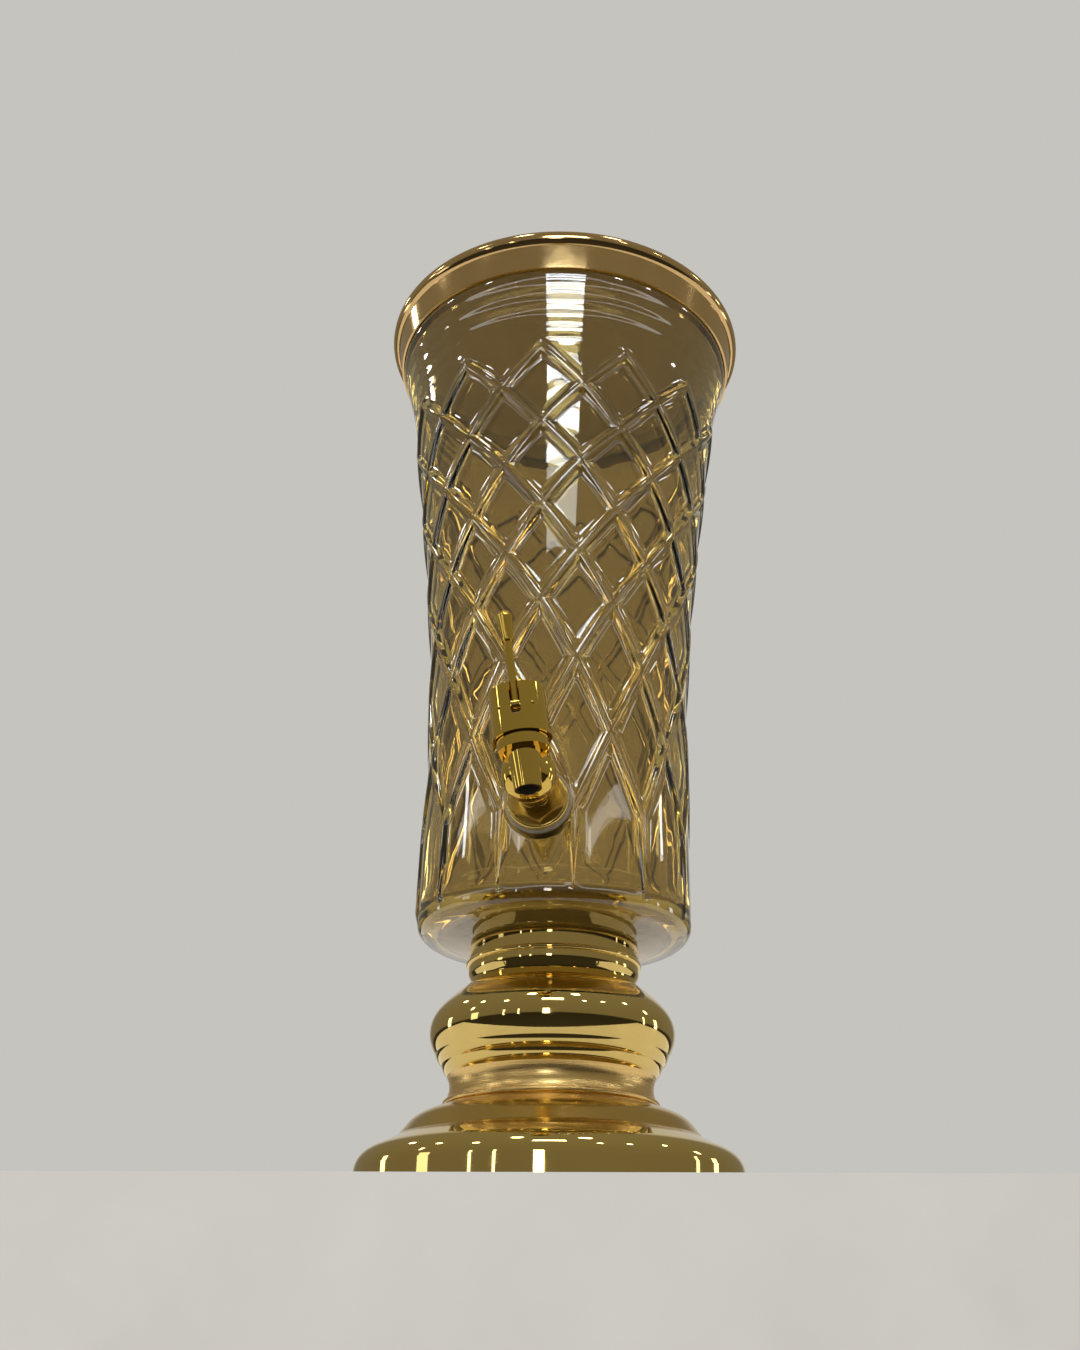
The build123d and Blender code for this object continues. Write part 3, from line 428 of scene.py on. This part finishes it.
def inside_lid(shader):
    """1 on the lid's underside, inner walls and the inner side of its skirt, 0 elsewhere."""
    place, face = shader.split(shader.place()), shader.facing()

    def across(first, second):
        return shader.math("ADD", shader.math("MULTIPLY", first["X"], second["X"]),
                           shader.math("MULTIPLY", first["Y"], second["Y"]))

    within = shader.math("LESS_THAN", across(place, place), LID_INSIDE ** 2)
    under = shader.math("MULTIPLY", within, shader.math("LESS_THAN", face["Z"], LID_UPWARD))
    inward = shader.math("LESS_THAN", across(place, face), -LID_INSIDE / 2)
    return shader.math("MAXIMUM", under, inward)


def two_tone(shader, share, other, rough):
    """Changes a made metal to a plain colour and roughness where share is 1."""
    tone, shine = (shader.main.inputs[name].links[0].from_socket for name in ("Base Color", "Roughness"))
    dull = shader.math("MULTIPLY", share, rough)
    shader.feed(Base_Color=shader.blend(share, tone, other), Roughness=shader.math("MAXIMUM", shine, dull),
                Metallic=shader.math("SUBTRACT", 1.0, share))


def lid_gold(colour):
    """Polished outside, and a pale, lacquered underside with turned rings."""
    shader = polished_gold("lid_gold", colour, rough=0.09)
    pale = shader.tones(shader.noise(size=0.002, detail=2.0, stretch=RINGS), *LID_LACQUER)
    two_tone(shader, inside_lid(shader), pale, LACQUER_ROUGH)
    return shader


def tap_gold(colour):
    """Polished outside, with dark shade painted into the spout's opening."""
    shader = polished_gold("tap_gold", colour, rough=0.03, smudge=0.04)
    away = shader.vector_math("SUBTRACT", shader.place(), spout_mouth)
    beside = shader.vector_math("LENGTH", shader.vector_math("CROSS_PRODUCT", away, spout_axis))
    along = shader.vector_math("DOT_PRODUCT", away, spout_axis)
    # where the painted shade inside the spout goes
    painted_bore_shade = shader.math("MULTIPLY", shader.math("LESS_THAN", beside, SPOUT_SHADE_RADIUS),
                       shader.math("LESS_THAN", along, SPOUT_SHADE_REACH))
    two_tone(shader, painted_bore_shade, shader.tones(shader.noise(size=0.001), *BORE_SHADE_TONES), BORE_SHADE_ROUGH)
    return shader


def amber_glass():
    """Pressed glass, slightly wavy, with a faint lustre, an amber depth, a ground seat and a matt floor."""
    shader = Shader("amber_glass")
    shader.set(IOR=1.52, Transmission_Weight=1.0, Coat_Weight=0.5, Coat_IOR=2.0, Coat_Roughness=0.02)
    height = shader.split(shader.place())["Z"]
    clear = shader.ramp(shader.noise(size=0.02), low=0.4, high=0.7, start=0, end=0.02)
    seat = shader.ramp(height, boss_top - SEAT_FADE, boss_top - SEAT_EDGE, GROUND_ROUGH, 0)
    level = shader.math("GREATER_THAN", shader.math("ABSOLUTE", shader.facing()["Z"]), FLOOR_LEVEL)
    near = shader.math("MULTIPLY", shader.math("LESS_THAN", height, jar_floor + FLOOR_REACH),
                       shader.math("GREATER_THAN", height, jar_floor - FLOOR_REACH))
    floor = shader.math("MULTIPLY", shader.math("MULTIPLY", level, near), FLOOR_ROUGH)
    shader.feed(Base_Color=shader.tones(shader.noise(size=0.06), *GLASS_TONES),
                Roughness=shader.math("MAXIMUM", clear, shader.math("MAXIMUM", seat, floor)))
    shader.bump(shader.noise(size=0.014, detail=1.0), strength=0.06, distance=0.002)
    depth = shader.node("VolumeAbsorption", Color=(*GLASS_DEPTH, 1), Density=GLASS_DENSITY)
    shader.join(depth.outputs[0], shader.output.inputs["Volume"])
    return shader


def silicone(name, clear):
    shader = Shader(name)
    shader.set(IOR=1.41, Transmission_Weight=clear)
    shader.feed(Base_Color=shader.tones(shader.noise(size=0.004), *SILICONE_TONES),
                Roughness=shader.ramp(shader.noise(size=0.002), *NOISE_SPAN, start=0.12, end=0.25))
    return shader


def matte(name, tones, grain, rough, bump=0.2, metallic=0.0):
    """Plain stuff with a grain: rubber, cast iron, moulded plastic or machined steel."""
    shader = Shader(name)
    shader.set(Metallic=metallic)
    fine = shader.noise(grain, detail=4.0)
    shader.feed(Base_Color=shader.tones(shader.noise(grain * 4), *tones),
                Roughness=shader.ramp(fine, *NOISE_SPAN, *rough))
    shader.bump(fine, strength=bump, distance=grain / 4)
    return shader


def smooth_curve(xs, ys):
    """Function through the points with no break in slope or bend: a natural cubic spline."""
    xs, ys = np.array(xs, float), np.array(ys, float)
    step, rise = np.diff(xs), np.diff(ys)
    count = len(xs)
    matrix, right_side = np.eye(count), np.zeros(count)
    for k in range(1, count - 1):
        matrix[k, k - 1:k + 2] = step[k - 1], 2 * (step[k - 1] + step[k]), step[k]
        right_side[k] = 6 * (rise[k] / step[k] - rise[k - 1] / step[k - 1])
    bend = np.linalg.solve(matrix, right_side)

    def value(x):
        k = np.clip(np.searchsorted(xs, x) - 1, 0, count - 2)
        before, after = x - xs[k], xs[k + 1] - x
        width = step[k]
        return ((bend[k] * after ** 3 + bend[k + 1] * before ** 3) / (6 * width)
                + (ys[k] / width - bend[k] * width / 6) * after
                + (ys[k + 1] / width - bend[k + 1] * width / 6) * before)

    return value


def measure_wall():
    """Outer radius of the CAD jar as a smooth function of height, measured on its inner wall."""
    heights = np.linspace(jar_floor + JAR_BOWL, flare_top, WALL_SAMPLES)
    radii = []
    for z in heights:
        _, place, _, _ = nodes["glass_jar"].ray_cast(Vector((0, 0, z)), Vector((1, 0, 0)))
        radii.append(place.x + JAR_THICK)
    return smooth_curve([wall_foot, *heights], [radii[0], *radii])


wall_radius = measure_wall()
height_of_row = smooth_curve(range(last_row + 1), row_heights)


def rib_share(row):
    """Half a rib's width as a share of half a cell, at a row of crossings."""
    wide = wall_radius(height_of_row(row)) * half_column
    near = min(max(row, 0.5), last_row - 0.5)
    tall = float(height_of_row(near - 0.5) - height_of_row(near + 0.5))
    return RIB_HALF * math.hypot(wide, tall) / (wide * tall)


def rib_profile(share):
    """Height of a half-round rib at a share of its half width from its crest."""
    radius = (RIB_HALF ** 2 + RIB_HEIGHT ** 2) / (2 * RIB_HEIGHT)
    across = np.clip(share, 0, 1) * RIB_HALF
    return np.sqrt(radius ** 2 - across ** 2) - (radius - RIB_HEIGHT)


def line_places(index, share):
    """Places of mesh lines across the ribs of one direction, and each line's share of a rib's half width."""
    whole, step = np.divmod(index, PERIOD)
    step = np.where(step > PERIOD / 2, step - PERIOD, step)
    whole = np.where(index % PERIOD > PERIOD / 2, whole + 1, whole)
    size = np.abs(step)
    on_rib = size / RIB_STEPS * share
    on_cell = share + (size - RIB_STEPS) / CELL_STEPS * (1 - share)
    offset = np.where(size <= RIB_STEPS, on_rib, on_cell)
    return 2 * whole + np.sign(step) * offset, size / RIB_STEPS


def lattice_ring(level):
    """Turns, heights and outer radii of one ring of mesh points through the lattice."""
    share = rib_share(level / PERIOD)
    index = np.arange(COLUMNS * PERIOD)
    falling, falling_share = line_places(index, share)
    rising, rising_share = line_places(index + level, share)
    turn = (falling + rising) / 2
    z = height_of_row((rising - falling) / 2)
    lift = np.maximum(rib_profile(falling_share), rib_profile(rising_share))
    return turn, z, wall_radius(z) + lift


def ripple(z):
    """Faint rings that the mould left round the flare, dying out towards the lattice and the rim."""
    share = (z - row_heights[0]) / (flare_top - row_heights[0])
    fade = math.sin(math.pi * min(max(share, 0), 1)) ** 0.5
    return RIPPLE * fade * math.sin(2 * math.pi * (flare_top - z) / RIPPLE_PITCH)


def wavy(turn, z):
    """Small unevenness of the inner wall."""
    angles = np.asarray(turn, float) * half_column
    ways = [(WAVES_ROUND * math.sin(angle), WAVES_ROUND * math.cos(angle), WAVES_UP * z) for angle in angles]
    return np.array([WAVINESS * noise.noise(Vector(way)) for way in ways])


def arc(z, radius, size, turn, steps):
    """Heights and radii along an arc round a middle, after its start at the same height on the outside."""
    angles = [turn * step / steps for step in range(1, steps + 1)]
    return [(z + size * math.sin(angle), radius + size * math.cos(angle)) for angle in angles]


class JarMesh:
    """Collects rings of points and the faces between them."""

    def __init__(self):
        self.columns = COLUMNS * PERIOD
        self.index = np.arange(self.columns)
        self.places, self.faces, self.rings = [], [], 0

    def ring(self, turn, z, radius):
        angle = np.asarray(turn, float) * half_column + LATTICE_TURN
        z = np.broadcast_to(z, (self.columns,))
        self.places += zip(radius * np.sin(angle), -radius * np.cos(angle), z)
        self.rings += 1
        return self.rings - 1

    def point(self, ring, column):
        return ring * self.columns + column % self.columns

    def strip(self, upper, lower):
        for c in range(self.columns):
            self.faces.append((self.point(upper, c), self.point(lower, c),
                               self.point(lower, c + 1), self.point(upper, c + 1)))

    def onward(self, ring, turn, outline):
        """Strips from a ring along an outline of heights and radii, over the rim and inside."""
        for z, radius in outline:
            lower, ring = ring, self.ring(turn, z, radius)
            self.strip(ring, lower)
        return ring

    def downward(self, ring, turn, outline):
        """Strips from a ring along an outline of heights and radii, down the outside."""
        for z, radius in outline:
            upper, ring = ring, self.ring(turn, z, radius)
            self.strip(upper, ring)
        return ring

    def cap(self, ring):
        self.faces.append([self.point(ring, c) for c in range(self.columns)])


def add_lattice(jar):
    """Lattice whose mesh lines follow its ribs. Returns its first and last ring."""
    rings = [jar.ring(*lattice_ring(level)) for level in range(last_row * PERIOD + 1)]
    for level in range(1, last_row * PERIOD):
        for c in range(jar.columns):
            jar.faces.append((jar.point(rings[level], c), jar.point(rings[level - 1], c + 1),
                              jar.point(rings[level], c + 1), jar.point(rings[level + 1], c)))
    for c in range(jar.columns):
        jar.faces.append((jar.point(rings[0], c), jar.point(rings[0], c + 1), jar.point(rings[1], c)))
        jar.faces.append((jar.point(rings[-1], c), jar.point(rings[-2], c + 1), jar.point(rings[-1], c + 1)))
    return rings[0], rings[-1]


def add_mouth(jar, ring):
    """Peaks of the lattice, flare, rim and the whole inside, from the lattice's first ring."""
    share = rib_share(0)
    turn, across = line_places(jar.index, share)
    peaks = []
    for step in range(1, RIB_STEPS + 1):
        rise = step / RIB_STEPS
        z = row_heights[0] + rise * share * ROW_PITCHES[0]
        peaks.append((z, wall_radius(z) + rib_profile(np.hypot(across, rise))))
    peak_top = peaks[-1][0]
    lip = JAR_THICK / 2
    bowl_top = jar_floor + JAR_BOWL
    bowl_radius = float(wall_radius(wall_foot)) - JAR_THICK - JAR_BOWL
    flare = [(z, float(wall_radius(z)) + ripple(z))
             for z in np.linspace(peak_top, flare_top, FLARE_LINES)[1:]]
    band = [(z, RIM_RADIUS) for z in np.linspace(flare_top, rim_top - lip, BAND_LINES)[1:]]
    edge = arc(rim_top - lip, RIM_RADIUS - lip, lip, math.pi, LIP_STEPS)
    inside = [(z, wall_radius(z) - JAR_THICK + wavy(turn, z))
              for z in np.linspace(flare_top, bowl_top, INSIDE_LINES)]
    bowl = arc(bowl_top, bowl_radius, JAR_BOWL, -math.pi / 2, CORNER_STEPS)
    jar.cap(jar.onward(ring, turn, peaks + flare + band + edge + inside + bowl))


def add_foot(jar, ring):
    """Upright ribs that narrow and run out, corner, underside and boss, from the lattice's last ring."""
    share = rib_share(last_row)
    for step in range(1, FOOT_STEPS + 1):
        fall = step / FOOT_STEPS
        z = row_heights[-1] + (wall_foot - row_heights[-1]) * fall
        turn, across = line_places(jar.index, share * (1 - RIB_NARROWING * fall))
        lift = rib_profile(across) * min(1, (1 - fall) * RIB_RUNOUT)
        ring = jar.downward(ring, turn + last_row, [(z, wall_radius(z) + lift)])
    edge = float(wall_radius(wall_foot))
    corner = arc(wall_foot, edge - JAR_CORNER, JAR_CORNER, -math.pi / 2, CORNER_STEPS)
    z, radius = corner[-1]
    under = [(z + (boss_top - z) * part, radius + (BOSS_RADIUS - radius) * part) for part in UNDERSIDE_SHARES]
    boss = [(jar_low.z, BOSS_RADIUS), (jar_low.z, BOSS_RADIUS / 2)]
    jar.cap(jar.downward(ring, turn + last_row, corner + under + boss))


def jar_mesh():
    """Whole jar without its pad and hole, with its faces turned outwards."""
    jar = JarMesh()
    first, last = add_lattice(jar)
    add_mouth(jar, first)
    add_foot(jar, last)
    mesh = bpy.data.meshes.new("jar")
    mesh.from_pydata(jar.places, [], jar.faces)
    mesh.validate()
    body = bmesh.new()
    body.from_mesh(mesh)
    bmesh.ops.recalc_face_normals(body, faces=body.faces)
    body.to_mesh(mesh)
    body.free()
    return mesh


def bar_along_y(name, radius, near, far):
    """Round bar at the tap's height, between two distances in front of the axis."""
    bpy.ops.mesh.primitive_cylinder_add(
        vertices=BAR_SIDES, radius=radius, depth=far - near, location=(0, -(near + far) / 2, tap_z),
        rotation=(math.pi / 2, 0, 0))
    bar = bpy.context.object
    bar.name = name
    return bar


def cut(piece, tool, operation):
    change = piece.modifiers.new(operation.lower(), "BOOLEAN")
    change.object = tool
    change.operation = operation
    change.solver = "EXACT"
    bpy.context.view_layer.objects.active = piece
    bpy.ops.object.modifier_apply(modifier=change.name)
    bpy.data.objects.remove(tool)


def make_jar(shader):
    jar = new_object("jar", jar_mesh())
    wall = float(wall_radius(tap_z))
    middle = wall - JAR_THICK / 2
    cut(jar, bar_along_y("pad", PAD_RADIUS, middle, wall + PAD_PROUD), "UNION")
    cut(jar, bar_along_y("inner_pad", INNER_PAD_RADIUS, wall - JAR_THICK - PAD_INSIDE, middle), "UNION")
    cut(jar, bar_along_y("hole", HOLE_RADIUS, wall - HOLE_OVERRUN, wall + HOLE_OVERRUN), "DIFFERENCE")
    jar.data.materials.clear()
    jar.data.materials.append(shader.material)
    jar.data.shade_smooth()
    jar.data.set_sharp_from_angle(angle=SHARP_ANGLE)
    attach(jar, "base")
    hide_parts("glass_jar")
    return jar


def dress(shader, *names):
    for name in names:
        nodes[name].data.materials.clear()
        nodes[name].data.materials.append(shader.material)


def make_shelf():
    """Pale slab that the dispenser stands on, cut straight in front, as seen from just below its top."""
    across = Matrix.Rotation(SHELF_YAW, 3, "Z") @ right
    away = Matrix.Rotation(SHELF_YAW, 3, "Z") @ -front
    edge = front * SHELF_REACH
    outline = ((-1, 0), (1, 0), (1, SHELF_DEPTH), (-1, SHELF_DEPTH))
    corners = [edge + across * side * SHELF_HALF_WIDTH + away * back + up * z
               for z in (-SHELF_THICK, 0) for side, back in outline]
    mesh = bpy.data.meshes.new("shelf")
    top, underside = (4, 5, 6, 7), (3, 2, 1, 0)
    sides = [(k, (k + 1) % 4, 4 + (k + 1) % 4, 4 + k) for k in range(4)]
    mesh.from_pydata(corners, [], [top, underside, *sides])
    for name, tones in (("shelf_top", SHELF_TOP_TONES), ("shelf_side", SHELF_SIDE_TONES)):
        mesh.materials.append(matte(name, tones, grain=0.01, rough=(0.5, 0.7), bump=0.05).material)
    for face in mesh.polygons[1:]:
        face.material_index = 1
    shelf = new_object("shelf", mesh)


def make_world():
    """Pale backdrop for the camera, metal and glass alike, and a plain light for the rest."""
    world = bpy.data.worlds.new("world")
    scene.world = world
    world.use_nodes = True
    tree = world.node_tree
    tree.nodes.clear()
    path = tree.nodes.new("ShaderNodeLightPath")
    pale = tree.nodes.new("ShaderNodeBackground")
    sky = tree.nodes.new("ShaderNodeBackground")
    pale.inputs["Color"].default_value = (*BACKDROP, 1)
    sky.inputs["Color"].default_value = (*SKY_COLOUR, 1)
    sky.inputs["Strength"].default_value = SKY_LEVEL
    seen = path.outputs["Is Camera Ray"]
    for output in ("Is Glossy Ray", "Is Transmission Ray"):
        either = tree.nodes.new("ShaderNodeMath")
        either.operation = "MAXIMUM"
        tree.links.new(seen, either.inputs[0])
        tree.links.new(path.outputs[output], either.inputs[1])
        seen = either.outputs[0]
    mix = tree.nodes.new("ShaderNodeMixShader")
    out = tree.nodes.new("ShaderNodeOutputWorld")
    tree.links.new(seen, mix.inputs[0])
    tree.links.new(sky.outputs[0], mix.inputs[1])
    tree.links.new(pale.outputs[0], mix.inputs[2])
    tree.links.new(mix.outputs[0], out.inputs[0])


def make_flats():
    """Shell of dark, warm studio flats, which polished surfaces show, open behind the dispenser."""
    mesh = bpy.data.meshes.new("flats")
    body = bmesh.new()
    bmesh.ops.create_icosphere(body, subdivisions=FLATS_DETAIL, radius=STUDIO_RADIUS)
    body.to_mesh(mesh)
    body.free()
    mesh.shade_smooth()
    shader = Shader("flats")
    place = shader.place()
    height = shader.ramp(shader.split(place)["Z"], -STUDIO_RADIUS, STUDIO_RADIUS, 0, 1)
    glow = shader.node("Emission")
    shader.join(shader.tint(height, *FLAT_TONES), glow.inputs["Color"])
    ahead, aside = (shader.vector_math("DOT_PRODUCT", place, way) for way in (front, right))
    turn = shader.math("ARCTAN2", aside, shader.math("MULTIPLY", ahead, -1.0))
    behind = shader.ramp(shader.math("ABSOLUTE", turn), OPENING, OPENING + OPENING_EDGE, 1, 0)
    mix = shader.node("MixShader")
    shader.join(behind, mix.inputs[0])
    shader.join(glow.outputs[0], mix.inputs[1])
    shader.join(shader.node("BsdfTransparent").outputs[0], mix.inputs[2])
    shader.join(mix.outputs[0], shader.output.inputs[0])
    mesh.materials.append(shader.material)
    flats = new_object("flats", mesh)
    flats.location = up * STUDIO_MIDDLE
    flats.visible_camera = False
    flats.visible_diffuse = False
    flats.visible_transmission = False
    flats.visible_shadow = False


def make_cards():
    """Two dark upright cards beside the backdrop's middle, which draw dark lines along the glass's ribs."""
    shader = Shader("card")
    shader.set(Specular_IOR_Level=0.0)
    shader.feed(Base_Color=shader.tones(shader.noise(size=0.2), *CARD_TONES))
    for side in (-1, 1):
        turn = side * CARD_AZIMUTH
        middle = -(front * math.cos(turn) + right * math.sin(turn)) * CARD_DISTANCE + up * CARD_HEIGHT
        across = (right * math.cos(turn) - front * math.sin(turn)) * CARD_WIDTH / 2
        corners = [middle + across * x + up * CARD_TALL / 2 * z
                   for x, z in ((-1, -1), (1, -1), (1, 1), (-1, 1))]
        mesh = bpy.data.meshes.new("card")
        mesh.from_pydata(corners, [], [(0, 1, 2, 3)])
        mesh.materials.append(shader.material)
        card = new_object(f"card_{side}", mesh)
        card.visible_camera = False
        card.visible_diffuse = False
        card.visible_glossy = False
        card.visible_shadow = False


def lamp(name, place, target, size, level, round_lamp=False):
    """Soft lamp at a place, turned to a target. level is its brightness."""
    data = bpy.data.lights.new(name, "AREA")
    data.shape = "ELLIPSE" if round_lamp else "RECTANGLE"
    data.size, data.size_y = size
    area = size[0] * size[1] * (math.pi / 4 if round_lamp else 1)
    data.energy = level * math.pi * area
    made = new_object(name, data)
    made.location = place
    made.rotation_euler = (target - place).to_track_quat("-Z", "Y").to_euler()
    made.visible_camera = False
    return made


def around(azimuth, elevation):
    """Place of a lamp at an angle from the camera's side and above the horizon."""
    turn, rise = math.radians(azimuth), math.radians(elevation)
    way = (front * math.cos(turn) + right * math.sin(turn)) * math.cos(rise) + up * math.sin(rise)
    return way * LAMP_DISTANCE + up * STUDIO_MIDDLE


def make_lamps():
    middle = up * STUDIO_MIDDLE
    for step, (height, tall, level) in enumerate(WINDOW_PANES):
        place = front * WINDOW_DISTANCE + right * WINDOW_SIDE + up * height
        pane = lamp(f"window_{step}", place, up * height, (WINDOW_WIDTH, tall), level)
        pane.data.color = WINDOW_COLOUR
    for step, (azimuth, wide, level) in enumerate(LOW_STRIPS):
        lamp(f"low_strip_{step}", around(azimuth, LOW_STRIP_ELEVATION), middle, (wide, LOW_STRIP_TALL), level)
    for step, (azimuth, elevation, wide, tall, level) in enumerate(HIGH_STRIPS):
        lamp(f"high_strip_{step}", around(azimuth, elevation), middle, (wide, tall), level)
    for step, (azimuth, elevation, wide, tall, level) in enumerate(BACK_STRIPS):
        strip = lamp(f"back_strip_{step}", around(azimuth, elevation), middle, (wide, tall), level)
        strip.visible_glossy = False
    for step, (azimuth, elevation, wide) in enumerate(SPOTS):
        lamp(f"spot_{step}", around(azimuth, elevation), middle, (wide, wide), SPOT_LEVEL, round_lamp=True)


def make_arcs(jar):
    """Wide, faint strips for the glass alone, which its flare shows as arcs."""
    only_jar = bpy.data.collections.new("only_jar")
    only_jar.objects.link(jar)
    for step, (azimuth, elevation) in enumerate(ARC_STRIPS):
        strip = lamp(f"arc_strip_{step}", around(azimuth, elevation), up * rim_top, ARC_SIZE, ARC_LEVEL)
        strip.light_linking.receiver_collection = only_jar


make_camera()
make_world()
make_shelf()
make_flats()
make_cards()
make_lamps()

dress(polished_gold("polished_gold", GOLD), "bulb_shell", "collar_cup", "lid_knob")
dress(foot_gold(GOLD, MOULDING_SHADED_GOLD), "foot_shell")
dress(lid_gold(LID_GOLD), "lid_shell")
dress(satin_gold("satin_gold", SATIN_GOLD), "waist_sleeve")
dress(tap_gold(TAP_GOLD), "tap_body", "tap_bonnet", "tap_lever", "lever_pin")
# the nut's rougher polish, with its tone brightened as painted light
dress(polished_gold("nut_lit_gold", NUT_LIT_GOLD, rough=0.2), "flange_nut")
dress(silicone("clear_silicone", clear=0.75), "outer_gasket", "inner_gasket")
dress(silicone("milky_silicone", clear=0.2), "seat_ring", "lid_seal")
dress(matte("black_rubber", RUBBER_TONES, grain=0.0008, rough=(0.6, 0.8)),
      "foot_pad", "stem_o_ring", "valve_plug")
dress(matte("steel", STEEL_TONES, grain=0.0006, rough=(0.2, 0.38), bump=0.08, metallic=1.0),
      "foot_plate", "plate_screws", "tie_rod", "rod_washers", "rod_nuts", "inner_washer", "lock_nut",
      "valve_stem", "valve_spring", "spring_plate", "knob_washer", "knob_screw")
dress(matte("iron", IRON_TONES, grain=0.0015, rough=(0.6, 0.85), bump=0.5), "ballast_disc")
dress(matte("white_plastic", PLASTIC_TONES, grain=0.0008, rough=(0.35, 0.5), bump=0.1), "gland_bush")
make_arcs(make_jar(amber_glass()))
